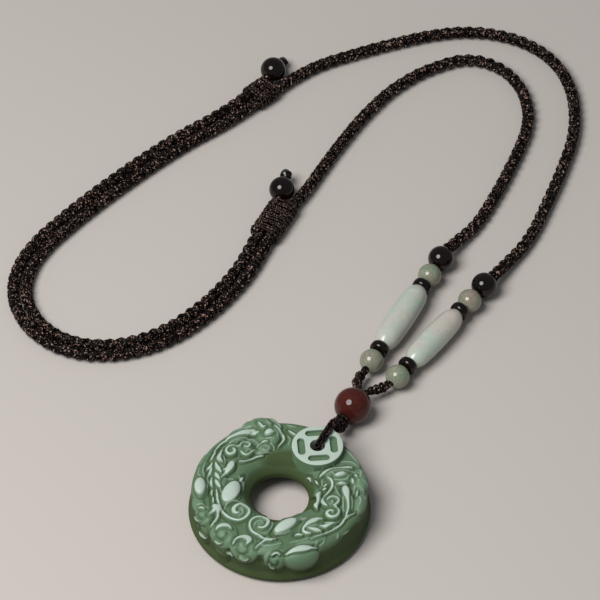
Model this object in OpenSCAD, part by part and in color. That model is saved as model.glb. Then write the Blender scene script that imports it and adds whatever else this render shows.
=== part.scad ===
// Carved jade ring pendant with a coin, hung on a beaded, adjustable braided cord and laid
// flat on a table. Millimetres, +Z up. The origin is the ring's centre on the table; +X runs
// to the right and +Y away from the pendant's lower edge, towards the neck cord.

/* [Pendant] */
// Outer diameter of the ring
ring_od = 54.8; // [53:0.2:56]
// Diameter of the hole at its narrowest
hole_d = 17.6; // [17:0.2:18.4]
// Height of the ring before carving
ring_h = 13; // [12.6:0.2:13.4]
// Depth of the ground between the carved forms
carve_depth = 0.9; // [0.6:0.1:1.1]

/* [Coin] */
// Diameter of the coin carved on the ring
coin_d = 15.6; // [14.6:0.2:16]
// Height of the coin's face above the table
coin_top = 14.6; // [14.2:0.1:15]
// Diameter of the cord hole through the coin and the ring
coin_hole_d = 4.6; // [4.2:0.1:5]
// Depth of the four slots in the coin's face
slot_depth = 1; // [0.6:0.1:1.4]

/* [Beads] */
// Diameter of the red agate bead
agate_d = 11.4; // [11:0.1:11.6]
// Diameter of each jade bead
jade_bead_d = 7.4; // [7.2:0.1:7.5]
// Diameter of each black bead
black_bead_d = 8.1; // [7.9:0.1:8.2]
// Diameter of each black disc
disc_d = 6.1; // [5.8:0.1:6.4]
// Thickness of each black disc
disc_t = 3; // [2.8:0.1:3.2]
// Diameter of the first barrel bead
barrel_a_d = 8; // [7.8:0.1:8.2]
// Diameter of the second barrel bead
barrel_b_d = 8.6; // [8.4:0.1:8.6]
// Length of the first barrel bead
barrel_a_l = 24.5; // [24.3:0.1:24.7]
// Length of the second barrel bead
barrel_b_l = 25.8; // [25.6:0.1:26]
// Diameter of the hole through the small beads
bead_bore_d = 2.1; // [2:0.1:2.4]

/* [Cord] */
// Diameter of the braided neck cord
cord_d = 4.1; // [3.9:0.1:4.1]
// Diameter of the short braids below the beads
braid_d = 3.4; // [3:0.1:3.5]
// Diameter of the thread inside the beads
thread_d = 1.6; // [1.4:0.1:1.7]
// Length of the first sleeve that joins the two cords
wrap_1_l = 7.8; // [7:0.1:7.9]
// Length of the second sleeve
wrap_2_l = 14; // [12:0.1:14.1]

/* [Hidden] */

GAP = 0.15;          // clearance between neighbouring pieces
EXACT = 64;          // facets shown on round exact forms

// Ring section. It is rounded in over the whole height at the hole and has a smaller round
// at the outer rim. The back is flat.
RING_R = ring_od / 2;
WAIST_R = hole_d / 2 - 0.2;      // the drilled bore takes the last 0.2 mm and leaves a land
INNER_ROUND = 5.8;               // how far the inner rounding reaches across the ring
LOWER_FLARE = 1.8;               // below the waist the hole opens nearly straight; 1 is an ellipse
RIM_ROUND = 3.5;
FOOT_ROUND = 1.8;
CROWN_IN = WAIST_R + INNER_ROUND;
CROWN_OUT = RING_R - RIM_ROUND;
INNER_LEN = 9.7;                 // length of the inner rounding, measured along the surface
WALL_START = CROWN_OUT + RIM_ROUND * PI / 2;
WALL_END = WALL_START + ring_h - RIM_ROUND - FOOT_ROUND;

// Coin place on the ring, and its four slots
COIN_AT = [11.4, 14.2];
COIN_FOOT = 7;                   // the coin's drum starts inside the ring at this height
COIN_TURN = 5;
SLOT_R = 4.9;
SLOT_L = 6.6;
SLOT_W = 2.3;
GROOVE_W = 3.2;                  // groove on the back that takes the cord to the rim
GROOVE_DEEP = 2.2;
GROOVE_DIR = 63;

// The carving is drawn on the unrolled surface of a 54.8 mm ring: its crown in plan, with the
// outer wall laid out flat round it. Strokes have the columns [x, y, half width].
CARVE_OD = 54.8;
STROKES = [
    // upper beast: brow, two spirals and the curl under them, jaw, lip, face edge, snout, eye's tail
    [[-19.6, 13.4, .2], [-17.9, 16.4, .28], [-16.2, 17.8, .28], [-14.6, 18.7, .26], [-13, 19.3, .3],
        [-11.4, 20, .45], [-9.6, 20.6, .65], [-7.8, 20.8, .5], [-6.4, 20.5, .12]],
    [[-11.9, 15.3, .15], [-13.6, 15.6, .22], [-15.3, 14.9, .26], [-16.1, 13.4, .28], [-15.2, 12.1, .28],
        [-13.9, 12.4, .34], [-13.4, 13.3, .38], [-13.8, 14, .3]],
    [[-11.9, 15.3, .15], [-11.2, 16.2, .2], [-10.2, 16.8, .24], [-9.1, 16.7, .26], [-8.5, 15.8, .28],
        [-8.8, 14.8, .24], [-9.6, 14.2, .14]],
    [[-11.6, 13.2, .14], [-11.1, 12.4, .22], [-10.1, 11.9, .2], [-9, 12.4, .14], [-7.3, 14, .1]],
    [[-12, 9.9, .14], [-10.8, 9.8, .18], [-9.5, 10.1, .16], [-8.2, 10.5, .2], [-7.1, 11.2, .26],
        [-6.1, 11.6, .26], [-4.8, 11.8, .12]],
    [[-6.8, 15.2, .12], [-5.9, 16.2, .22], [-4.9, 16.8, .22], [-3.6, 16.9, .1]],
    [[-1.4, 23, .12], [-.4, 22.2, .28], [.5, 21, .34], [1.1, 19.7, .34], [1.3, 18.6, .32], [1, 17.6, .24],
        [.2, 16.4, .16], [-.3, 15.6, .1]],
    [[-2.4, 25.4, .14], [-1.2, 25, .3], [-.2, 24.2, .3], [.3, 23.2, .14]],
    [[-6.3, 23.6, .12], [-5.6, 22.8, .34], [-4.9, 22.2, .3], [-4.2, 22.6, .12]],
    [[-3.2, 20.2, .5], [-1.6, 20.2, .12]],
    [[2.8, 22, .12], [3.6, 21.2, .3], [4.6, 20.4, .3]],
    // its spine: pointed leaves on both sides of a rail, and a comma
    [[-17.3, 14.4, .12], [-17.7, 12.6, .3], [-18.2, 11, .55], [-18, 10, .6], [-17.1, 9.2, .1]],
    [[-19.2, 8.8, .12], [-18.8, 7.2, .5], [-18.3, 6.2, .6], [-17.4, 4.8, .1]],
    [[-19.2, 4.6, .14], [-18.7, 3.4, .55], [-17.9, 2.1, .1]],
    [[-19.2, 1.9, .14], [-18.7, .8, .5], [-18.1, -.4, .4], [-17.9, -.9, .1]],
    [[-18.9, -1.6, .1], [-18.7, -3.2, .24], [-18.6, -4.8, .24], [-18.2, -6.6, .3], [-17.8, -8, .35]],
    [[-19.2, 13.2, .1], [-19.9, 11.7, .3], [-20.7, 10.3, .12]],
    [[-20.2, 8.9, .1], [-20.9, 7.4, .45], [-21.7, 6.7, .14]],
    [[-20.4, 6.8, .2], [-20.8, 5.4, .36], [-21.4, 3.8, .1]],
    [[-20.3, 3, .1], [-20.5, 1.8, .3], [-20.4, .5, .26], [-20.2, -.2, .1]],
    [[-20.1, -1.4, .1], [-20.3, -2.5, .24], [-20.2, -3.6, .1]],
    [[-19.9, -4.2, .1], [-19.8, -5.4, .24], [-19.8, -6.6, .12]],
    [[-14.3, 8.9, .6], [-14.5, 7.8, .95], [-15.1, 6.3, .85], [-15.9, 5, .5], [-16.6, 4, .25], [-17.4, 3.1, .1]],
    [[-16.8, 6.1, .12], [-15.7, 6, .5]],
    // first ribbon: joint, tails and scroll
    [[-19.6, -8.3, .5], [-18.9, -8.9, .95], [-18.2, -9.6, .8]],
    [[-18.3, -9.6, .5], [-18.3, -11.2, .34], [-18.8, -12.8, .28], [-19.6, -14.1, .26], [-21.2, -15.9, .1]],
    [[-19.6, -10, .5], [-20.4, -11.1, .28], [-20.9, -11.7, .12]],
    [[-18, -7.8, .3], [-17.3, -9.4, .4], [-16.4, -10.9, .32], [-15.2, -12.4, .28], [-13.8, -13.3, .27],
        [-12.3, -13.7, .27], [-10.9, -13.3, .29], [-9.7, -12.2, .33], [-9, -10.6, .38], [-9.3, -9, .4],
        [-10.4, -7.8, .42], [-11.7, -7.4, .42], [-13, -8.2, .5], [-13.7, -9.5, .55], [-13.5, -10.7, .5],
        [-12.8, -11.2, .36], [-12, -11, .12]],
    // second ribbon: joint, scroll and tail
    [[-1.2, -20.7, .12], [-2.9, -21, .3], [-4.2, -20.7, .45], [-5.4, -19.7, .26], [-6.8, -19, .24],
        [-8, -18.1, .26], [-8.7, -16.8, .26], [-8.9, -15.2, .26], [-8.4, -13.7, .28], [-7.3, -12.7, .32],
        [-5.8, -12.3, .36], [-4.4, -12.8, .42], [-3.4, -13.8, .46], [-3.5, -15.2, .42], [-4.2, -16.4, .34],
        [-5.3, -16.9, .28], [-6.4, -16.5, .12]],
    [[-2.4, -21.3, .3], [-4, -21.3, .4], [-5.1, -22.3, .24], [-6.1, -23.3, .2], [-6.9, -24.4, .1]],
    // cloud knobs, shell and small triangles
    [[-24, -8.9, .12], [-23.2, -9, .34], [-22.4, -9.5, .12]],
    [[-25.9, -11, .1], [-25.3, -12.1, .22], [-24.4, -12.9, .1]],
    [[-18.5, -16.6, .12], [-17.9, -15.8, .34], [-16.9, -15.4, .48], [-15.8, -15.4, .42], [-14.9, -15.8, .26],
        [-14.2, -16.5, .1]],
    [[-19.3, -20.3, .1], [-18.6, -21.2, .22], [-17.6, -21.5, .1]],
    [[-13.6, -21.9, .14], [-12.8, -20.8, .24], [-11.6, -20.1, .36], [-10.3, -20.1, .62], [-9.2, -20.7, .76],
        [-8.9, -21.7, .55], [-9.4, -22.7, .14]],
    [[-12.2, -26.4, .1], [-11, -27.5, .22], [-9.7, -27.3, .1]],
    [[-2.3, -26.8, .1], [-1.5, -26.1, .22], [-.5, -26, .22], [.1, -26.5, .1]],
    [[-3.2, -29.8, .1], [-2.8, -30.8, .2], [-1.8, -31.4, .1]],
    [[1.9, -26.5, .12], [2.8, -25.8, .35], [3.9, -25.1, .65], [5.2, -24.6, .9], [6.7, -24.3, .92],
        [8.2, -24.1, .7], [9.6, -23.9, .36], [11.4, -24, .1]],
    [[-28.2, -15.2, .15], [-27, -16.4, .6], [-25.9, -17.6, .5], [-25, -18.8, .15]],
    [[-17.6, -25.2, .15], [-16.8, -26, .5], [-16.7, -27.2, .12]],
    [[6.8, 4.4, .14], [7.7, 4.1, .4], [7.8, 3.2, .12]],
    // leaves and border below the lower beast
    [[12.8, -13.2, .12], [11.6, -13.2, .5], [10.3, -13.9, .85], [9, -14.7, .75], [7.9, -15.8, .45],
        [7.1, -17, .3], [7.2, -18, .3], [8.1, -18.5, .36], [9.3, -18.6, .1]],
    [[8.6, -16.9, .12], [9.9, -17.3, .45], [11.2, -17.6, .55], [12.4, -17.7, .12]],
    [[12.1, -15.9, .1], [13.4, -16.2, .42], [14.8, -15.7, .3], [16.1, -15, .12]],
    [[13.6, -15, .1], [15.2, -15, .2], [16.8, -14.8, .1]],
    [[4.7, -18.9, .12], [5.7, -18.7, .4], [6.8, -18.9, .12]],
    [[9.6, -20.7, .1], [11, -20, .2], [12.4, -19.2, .2], [14, -18.1, .18], [15.6, -17.2, .22],
        [17.1, -16.1, .28], [18.2, -15, .32], [18.9, -13.9, .36], [19.4, -12.8, .3], [20.6, -11.7, .16],
        [21.8, -10.9, .16], [22.8, -10.3, .1]],
    // lower beast: brow, cheek line, two spirals, teardrop, side pad, small points
    [[11.7, 3.8, .16], [13, 5, .36], [14.2, 6.1, .32], [15.6, 6.8, .26], [17.2, 7.2, .24], [18.9, 7.3, .24],
        [20.4, 7.5, .28], [21.8, 7.4, .12]],
    [[14.3, 2.9, .12], [15.3, 2, .28], [15.8, .9, .3], [15.7, -.3, .3], [15.1, -1.6, .26], [14.1, -3.1, .24],
        [13.1, -4.4, .28], [12.7, -5.8, .34], [13.2, -7.1, .34], [14.1, -8, .14]],
    [[14.3, -5.8, .2], [15.1, -5, .28], [16.3, -4.7, .28], [17.5, -5.2, .28], [17.7, -6.2, .28],
        [17.2, -7.2, .26], [16.4, -7.9, .24]],
    [[16.2, -7.9, .2], [17.2, -8.6, .28], [17.8, -9.9, .28], [17.5, -11.4, .28], [16.6, -12.3, .32],
        [15.4, -12.5, .38], [14.4, -11.9, .42], [14.1, -11, .4], [14.7, -10.3, .32], [15.5, -10.2, .28],
        [16.2, -10.6, .12]],
    [[19.5, -1, .75], [19.8, -2, 1], [20, -3.6, .85], [20.3, -5.4, .5], [20.5, -7.2, .34], [20.5, -9.2, .28],
        [20.1, -10.8, .22], [19.6, -12.2, .12]],
    [[11.7, -1.2, .1], [11, -3, .42], [10.5, -4.6, .6], [10.2, -6.2, .55], [10.3, -7.8, .3], [10.8, -8.6, .1]],
    [[12.6, -1.2, .12], [13.2, -1, .34], [13.9, -.8, .12]],
    [[13, -.1, .1], [13.6, .4, .28], [14.2, .8, .1]],
    [[9.8, 2.9, .1], [10.3, 2.2, .36], [10.8, 1.4, .12]],
    [[23.3, -1.8, .12], [23.2, -2.8, .24], [23, -3.8, .1]],
    [[21.8, 2.6, .1], [21.9, 1.7, .3], [21.9, 1, .1]],
    [[22.6, 3.8, .1], [22.9, 3.2, .24], [23.2, 2.8, .1]]];

// Polished pads with the columns [x, y, half length, half width, turn]
PADS = [[-23.7, -.7, 3.4, 1.6, 90], [-14.4, -2.5, 4.55, 2.5, 64], [1.8, -15.7, 4.15, 1.85, 38],
    [18.3, 4.1, 1.8, .85, 18], [18.7, .8, 1.1, .4, 3], [-3.4, 20.2, 1.1, .85, 30], [-10.6, 3.3, 1, .5, 50]];

// Rounded forms that the strokes ride on, with the columns [x, y, half length, half width,
// turn, height]. The first three make the upper beast's head, which stands out over the rim.
MOUNDS = [[-6.2, 24.8, 5.8, 3.6, 12, 2.1], [-3.2, 20.6, 4.8, 4, 90, 1.8], [-12.2, 20.2, 4.6, 2.8, 35, 1.3],
    [-11.6, -10.6, 4.6, 4.1, 0, 1.1], [-5.8, -15.4, 4.3, 4.2, 0, 1.1], [-23.1, -11.2, 3.4, 3.2, 0, 1.3],
    [-17, -18.6, 4.2, 4, 0, 1.5], [-10.6, -23.7, 4.2, 4.3, 0, 1.6], [-1.5, -28.6, 3.4, 3.3, 0, 1.4],
    [7.3, -28.6, 6.2, 5.4, 12, 1.8], [2, -15.6, 5.4, 2.9, 38, 1.1], [-14.4, -2.6, 5.6, 3.6, 64, 1.1],
    [-24, -.9, 4.8, 2.9, 92, 1.6], [-24.9, -6.6, 3, 2.6, 90, 1.2], [-14.6, 13.8, 2.6, 2.6, 0, 1.1],
    [-10.2, 14.4, 3, 3, 0, 1.1], [-4.6, 14.6, 2.6, 2.4, 0, 1.1], [-18.2, 5.4, 9.4, 2.6, 92, .9],
    [-14.9, 7, 3, 1.9, 62, 1.1], [17.8, 3.4, 4.6, 3.7, 0, 1.2], [15.6, -6, 3, 2.9, 0, 1.1],
    [15.8, -10.8, 2.9, 2.7, 0, 1.1], [20.2, -5.4, 6.4, 1.9, 92, 1.1], [10.6, -4.4, 4.6, 1.8, 95, 1.1],
    [10, -15.6, 4.6, 3.2, 24, 1.1], [14.6, -15.2, 3, 1.6, 8, 1.1], [-19, -9, 2.6, 1.9, 90, 1.1],
    [-3.2, -22.2, 4.4, 2, 4, 1], [24.6, 2.4, 4.6, 2.8, 92, 1.5], [24.8, -6.6, 4, 2.4, 84, 1.1],
    [9.2, -21.4, 5.4, 2, 24, .9], [19.4, -19.2, 5.4, 3.4, 40, .9], [-26.8, -17.4, 3.6, 3, 30, .9],
    [-20.6, -25.4, 4.2, 3.4, 48, .9]];

// Free route of each neck cord from its last bead to the sleeves, [x, y, z]
ROUTE_A = [[66.1, 91.6, 4.3], [70, 97.5, 3], [77.5, 109, 2.1], [84.5, 126, 2.1], [90, 142, 2.1],
    [93, 153, 2.1], [94, 164.5, 2.1], [92.5, 176.5, 2.1], [88, 186.5, 2.1], [80.5, 194, 2.1],
    [71, 198.5, 2.1], [61, 200, 2.1], [51, 199, 2.1], [38.5, 195.5, 2.1], [22.5, 189.5, 2.1],
    [12.5, 185, 2.1], [5, 179.7, 2.2]];
ROUTE_B = [[52.4, 103.4, 4.3], [55.8, 108.2, 3], [61, 115, 2.1], [67.5, 127.5, 2.1], [73, 140.5, 2.1],
    [76.5, 150, 2.1], [78.7, 158, 2.1], [79, 166.5, 2.1], [76, 177, 2.1], [69.5, 184.5, 2.1],
    [60.5, 187.5, 2.1], [51, 184.8, 2.1], [38.5, 176.5, 2.1], [28.5, 165, 2.1], [19, 150, 2.1],
    [12.6, 138.3, 2.1], [8.4, 130.3, 2.3]];
// Middle line of the two cords where they lie side by side, from sleeve 1 round to sleeve 2
PAIR_ROUTE = [[-3, 175.1, 2.75], [-8.9, 169.6, 2.75], [-14.6, 164.5, 2.3], [-21, 159.3, 2.1],
    [-29.5, 153, 2.1], [-40, 144, 2.1], [-50, 134.5, 2.1], [-60, 124.3, 2.1], [-68, 115.3, 2.1], [-74.8, 106.5, 2.1],
    [-79.2, 97.5, 2.1], [-80.6, 87.5, 2.1], [-78, 77.5, 2.1], [-72.5, 70, 2.1], [-64.5, 65, 2.1],
    [-55, 63.3, 2.1], [-45, 64.8, 2.1], [-35, 69.5, 2.1], [-25.5, 77.3, 2.1], [-17, 87.3, 2.1],
    [-11, 96.8, 2.1], [-7.6, 104.3, 2.3], [-4.9, 110.3, 2.75], [1.6, 123, 2.75]];
LANE = cord_d / 2 + 0.1;         // each cord's distance from that middle line
CORD_SIDES = 10;
THREAD_SIDES = 8;

// Short braids between the agate and the lower jade beads, [x, y, z, share of full radius]
BRAID_ROUTE_A = [[26.1, 43.2, 5.3, .5], [28, 44.6, 4.6, .85], [30.2, 45.8, 4, 1], [32, 46.8, 4, 1],
    [33.3, 47.6, 4.3, .75]];
BRAID_ROUTE_B = [[24.4, 43.9, 5.3, .5], [23.9, 45.8, 4.6, .85], [23.7, 48.6, 3.8, 1],
    [24.7, 51.1, 3.9, 1], [26.3, 53.2, 4.3, .75]];

// Doubled thin cord: over the coin, down its hole and back under the ring, [x, y, z]
LOOP_ROUTE = [[17.3, 27.6, 7.4], [16.9, 25.9, 11.2], [16.3, 23.6, 14.4], [15.3, 20.9, 15.5],
    [13.6, 17.4, 15.6], [12.4, 15.2, 15.4], [11.6, 13.9, 14.2], [11.4, 13.6, 11], [11.4, 13.7, 5],
    [11.7, 14.4, 2.1], [12.9, 16.6, 1.1], [15.5, 21.9, 1.1], [17, 25, 1.4], [17.4, 27.4, 3.6]];
LOOP_HALF_W = 1.3;
LOOP_HALF_T = 0.65;
LOOP_DIR = 66;

// Bead rows: middle of the barrel bead, the way the row runs from the pendant, barrel's length
ROW_Z = 4.3;
ROW_A = [47.45, 66.2, 53.9, barrel_a_l];
ROW_B = [37.4, 74.7, 62.5, barrel_b_l];
BARREL_ARC = 110;                // a barrel bead swells slowly and turns in at its shoulders
SHOULDER_L = 4;
SHOULDER_R = 7.7;
AGATE_AT = [22.3, 37.6];
AGATE_DIR = 61;
AGATE_BORE_D = 3;
KNOT_R = 2.6;
// End bead of each cord, and how far the knot hangs below the bead's axis: [x, y, z, turn, drop]
END_BEAD_A = [0.7, 129, 4.1, 78, 0];
END_BEAD_B = [-2.1, 181.2, 4.2, 60, 2.3];
END_KNOT_R = 1.8;
TAIL_GAP = 0.8;                  // from the cord's end to the core of its tail
SLEEVE_WALL = 0.55;
SLEEVE_CLEAR = 0.1;

// Distances of each bead of a row from the middle of its barrel
function disc_at(row) = row[3] / 2 + GAP + disc_t / 2;
function jade_at(row) = disc_at(row) + disc_t / 2 + GAP + jade_bead_d / 2;
function black_at(row) = jade_at(row) + jade_bead_d / 2 + GAP + black_bead_d / 2;

function unit(v) = v / norm(v);
function step01(t) = let (c = min(max(t, 0), 1)) c * c * (3 - 2 * c);

// Ring surface at the unrolled radius v: [radius, height, normal radius, normal height]
function section(v) =
    v < CROWN_IN ?
        let (t = min((CROWN_IN - v) / INNER_LEN, 1) * 90,
             n = unit([-sin(t) / INNER_ROUND, cos(t) / (ring_h / 2)]))
        [CROWN_IN - INNER_ROUND * sin(t), ring_h / 2 * (1 + cos(t)), n[0], n[1]] :
    v < CROWN_OUT ? [v, ring_h, 0, 1] :
    v < WALL_START ?
        let (t = (v - CROWN_OUT) / RIM_ROUND * 180 / PI)
        [CROWN_OUT + RIM_ROUND * sin(t), ring_h - RIM_ROUND * (1 - cos(t)), sin(t), cos(t)] :
    [RING_R, ring_h - RIM_ROUND - (v - WALL_START), 1, 0];

// Height of one piece of a stroke at p: a ridge with a flat top and steep sides
RIDGE_SIDE = 0.45;
RIDGE_H = 0.45;
function ridge(p, a, b) =
    let (q = [p[0] - a[0], p[1] - a[1]], d = [b[0] - a[0], b[1] - a[1]],
         t = min(max(q * d / (d * d), 0), 1),
         w = max(a[2] + t * (b[2] - a[2]), .35))
    step01((w + RIDGE_SIDE - norm(q - t * d)) / RIDGE_SIDE);
function stroke_h(p, s) = max([for (i = [0 : len(s) - 2]) ridge(p, s[i], s[i + 1])]);

// Distance of p from the middle of an ellipse, 1 at its edge
function reach(p, e) =
    let (x = p[0] - e[0], y = p[1] - e[1], c = cos(e[4]), s = sin(e[4]))
    norm([(x * c + y * s) / e[2], (y * c - x * s) / e[3]]);
PAD_EDGE = 4;

// A stroke is looked at only where p is near it: middle and reach of each stroke
STROKE_SPAN = [for (s = STROKES)
    let (lo = [for (k = [0, 1]) min([for (q = s) q[k]])], hi = [for (k = [0, 1]) max([for (q = s) q[k]])])
    [(lo + hi) / 2, norm(hi - lo) / 2 + 1.6]];

function carving(p) =
    let (mound = max([for (e = MOUNDS) let (r = reach(p, e)) r < 1 ? e[5] * sqrt(1 - r * r) : 0]),
         pad = max([for (e = PADS) step01((1.06 - reach(p, e)) * PAD_EDGE)]),
         line = max(concat([0], [for (i = [0 : len(STROKES) - 1])
             if (norm(p - STROKE_SPAN[i][0]) < STROKE_SPAN[i][1]) stroke_h(p, STROKES[i])])))
    mound + RIDGE_H * max(pad, line) - carve_depth;

// The carving fades out towards the hole and the foot of the wall
function carved_point(a, v) =
    let (s = section(v), k = CARVE_OD / ring_od,
         fade = step01((v - 5.2) / 3.6) * step01((WALL_END - v) / 2.5),
         h = fade == 0 ? 0 : fade * carving(v * k * [cos(a), sin(a)]),
         r = s[0] + s[2] * h)
    [r * cos(a), r * sin(a), s[1] + s[3] * h];

// Rows of the ring's skin: unrolled radii over the top, then [radius, height] round the back
COLUMNS = 168;
TOP_ROWS = [for (i = [0 : 6]) CROWN_IN - INNER_LEN * (1 - i / 7),
    for (i = [0 : 11]) CROWN_IN + (CROWN_OUT - CROWN_IN) * i / 12,
    for (i = [0 : 5]) CROWN_OUT + (WALL_START - CROWN_OUT) * i / 6,
    for (i = [0 : 4]) WALL_START + (WALL_END - WALL_START) * i / 4];
BACK_ROWS = [[RING_R - FOOT_ROUND * .3, FOOT_ROUND * .3], [RING_R - FOOT_ROUND, 0], [CROWN_IN, 0],
    for (t = [67, 45, 28, 13]) [CROWN_IN - INNER_ROUND * pow(cos(t), LOWER_FLARE),
        ring_h / 2 * (1 - pow(sin(t), LOWER_FLARE))]];

module carved_ring() {
    rows = concat([for (v = TOP_ROWS) [for (i = [0 : COLUMNS - 1]) carved_point(i * 360 / COLUMNS, v)]],
        [for (q = BACK_ROWS) [for (i = [0 : COLUMNS - 1]) let (a = i * 360 / COLUMNS)
            [q[0] * cos(a), q[0] * sin(a), q[1]]]]);
    count = len(rows);
    faces = [for (j = [0 : count - 1], i = [0 : COLUMNS - 1])
        let (a = j * COLUMNS + i, b = j * COLUMNS + (i + 1) % COLUMNS,
             c = (j + 1) % count * COLUMNS + (i + 1) % COLUMNS, d = (j + 1) % count * COLUMNS + i)
        each [[a, b, c], [a, c, d]]];
    polyhedron(points = [for (r = rows) each r], faces = faces, convexity = 6);
}

module slot(l, w, h) {
    linear_extrude(h) {
        square([w, l - w], center = true);
        for (s = [-1, 1]) translate([0, s * (l - w) / 2]) circle(d = w, $fn = EXACT);
    }
}

module pendant() {
    color("#6f9c7d") difference() {
        union() {
            carved_ring();
            translate([COIN_AT[0], COIN_AT[1], COIN_FOOT])
                cylinder(d = coin_d, h = coin_top - COIN_FOOT, $fn = EXACT);
        }
        translate([0, 0, -1]) cylinder(d = hole_d, h = ring_h + 4, $fn = EXACT);
        translate([COIN_AT[0], COIN_AT[1], -1]) cylinder(d = coin_hole_d, h = coin_top + 2, $fn = EXACT);
        for (k = [0 : 3]) translate([COIN_AT[0], COIN_AT[1], coin_top - slot_depth])
            rotate(COIN_TURN + 90 * k) translate([SLOT_R, 0]) slot(SLOT_L, SLOT_W, slot_depth + 1);
        translate([COIN_AT[0], COIN_AT[1], -1]) rotate(GROOVE_DIR)
            translate([0, -GROOVE_W / 2]) cube([ring_od / 2, GROOVE_W, GROOVE_DEEP + 1]);
    }
}

// Tube along a route. Each ring stands square to the route; half_w and half_t are its half
// width across the side vector and its half thickness, and scale has one factor for each ring.
function route_dir(p, i) = unit(p[min(i + 1, len(p) - 1)] - p[max(i - 1, 0)]);
module tube(route, side, half_w, half_t, scale, sides) {
    last = len(route) - 1;
    points = [for (i = [0 : last])
        let (t = route_dir(route, i), up = unit(cross(t, side)), across = cross(up, t))
        for (k = [0 : sides - 1]) let (a = (k + .5) * 360 / sides)
            route[i] + scale[i] * (half_w * cos(a) * across + half_t * sin(a) * up)];
    faces = [for (i = [0 : last - 1], k = [0 : sides - 1])
        let (m = (k + 1) % sides)
        [i * sides + k, (i + 1) * sides + k, (i + 1) * sides + m, i * sides + m]];
    polyhedron(points = points, convexity = 10,
        faces = concat([[for (k = [0 : sides - 1]) k]], faces,
            [[for (k = [sides - 1 : -1 : 0]) last * sides + k]]));
}
function ones(p) = [for (q = p) 1];

// One lane of the pair: the middle line moved sideways to its left (side 1) or right (side -1)
function lane(p, side) = [for (i = [0 : len(p) - 1])
    let (t = route_dir(p, i)) p[i] + side * LANE * unit([-t[1], t[0], 0])];
function reversed(p) = [for (i = [len(p) - 1 : -1 : 0]) p[i]];
CORD_A = concat(ROUTE_A, lane(PAIR_ROUTE, 1));
CORD_B = concat(ROUTE_B, reversed(lane(PAIR_ROUTE, -1)));

module neck_cord(route) {
    color("#241512") tube(route, [0, 0, 1], cord_d / 2, cord_d / 2, ones(route), CORD_SIDES);
}

module lower_braid(route) {
    color("#241512") tube([for (q = route) [q[0], q[1], q[2]]], [0, 0, 1], braid_d / 2, braid_d / 2,
        [for (q = route) q[3]], THREAD_SIDES);
}

module loop_cord() {
    color("#241512") tube(LOOP_ROUTE, [-sin(LOOP_DIR), cos(LOOP_DIR), 0], LOOP_HALF_W, LOOP_HALF_T,
        ones(LOOP_ROUTE), THREAD_SIDES);
}

// Places a child on a bead row, its X axis along the row, at the distance d from the barrel
module on_row(row, d) {
    translate([row[0], row[1], ROW_Z]) rotate(row[2]) translate([d, 0, 0]) rotate([0, 90, 0]) children();
}

module round_bead(d, bore) {
    difference() {
        sphere(d = d, $fn = EXACT);
        cylinder(d = bore, h = d + 2, center = true, $fn = EXACT);
    }
}

module disc_bead() {
    round_r = disc_t * .38;
    rim = disc_d / 2;
    rotate_extrude($fn = EXACT) difference() {
        union() {
            translate([0, -disc_t / 2]) square([rim - round_r, disc_t]);
            translate([0, -disc_t / 2 + round_r]) square([rim, disc_t - 2 * round_r]);
            for (s = [-1, 1]) translate([rim - round_r, s * (disc_t / 2 - round_r)])
                circle(r = round_r, $fn = EXACT);
        }
        translate([-1, -disc_t]) square([1 + bead_bore_d / 2, 2 * disc_t]);
    }
}

module barrel_bead(d, l) {
    from = l / 2 - SHOULDER_L;
    lean = asin(from / BARREL_ARC);
    shoulder_x = d / 2 - BARREL_ARC * (1 - cos(lean)) - SHOULDER_R * cos(lean);
    rotate_extrude($fn = EXACT) difference() {
        union() {
            intersection() {
                translate([d / 2 - BARREL_ARC, 0]) circle(r = BARREL_ARC, $fn = 16 * EXACT);
                translate([0, -from]) square([d, 2 * from]);
            }
            for (s = [-1, 1]) intersection() {
                translate([shoulder_x, s * (from - SHOULDER_R * sin(lean))])
                    circle(r = SHOULDER_R, $fn = 3 * EXACT);
                translate([0, s > 0 ? from : -l / 2]) square([d, SHOULDER_L]);
            }
        }
        translate([-1, -l]) square([1 + bead_bore_d / 2, 2 * l]);
    }
}

module bead_thread(row) {
    from = -jade_at(row) - jade_bead_d / 2 + GAP;
    to = black_at(row) + black_bead_d / 2 - GAP;
    color("#241512") on_row(row, from) cylinder(d = thread_d, h = to - from, $fn = EXACT);
}

module jade_bead(row, side) {
    color("#8aa892") on_row(row, side * jade_at(row)) round_bead(jade_bead_d, bead_bore_d);
}

module black_disc(row, side) {
    color("#1a1110") on_row(row, side * disc_at(row)) disc_bead();
}

module barrel(row, d) {
    color("#c3cfc4") on_row(row, 0) barrel_bead(d, row[3]);
}

module black_bead(row) {
    color("#1a1110") on_row(row, black_at(row)) round_bead(black_bead_d, bead_bore_d);
}

module end_bead(at) {
    color("#1a1110") translate([at[0], at[1], at[2]]) rotate([0, 90, at[3]])
        round_bead(black_bead_d, bead_bore_d);
}

module agate_bead() {
    color("#5a1f1a") translate([AGATE_AT[0], AGATE_AT[1], agate_d / 2]) rotate([0, 90, AGATE_DIR])
        round_bead(agate_d, AGATE_BORE_D);
}

// Knot between the loop and the agate, with its strands carried on through the agate's bore
module collar_knot() {
    knot_at = agate_d / 2 + GAP + KNOT_R;
    color("#241512") translate([AGATE_AT[0], AGATE_AT[1], agate_d / 2]) rotate([0, 90, AGATE_DIR]) {
        translate([0, 0, -knot_at]) sphere(r = KNOT_R, $fn = EXACT);
        translate([0, 0, -knot_at]) cylinder(d = AGATE_BORE_D - .4, h = knot_at + agate_d / 2 - .6, $fn = EXACT);
    }
}

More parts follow.
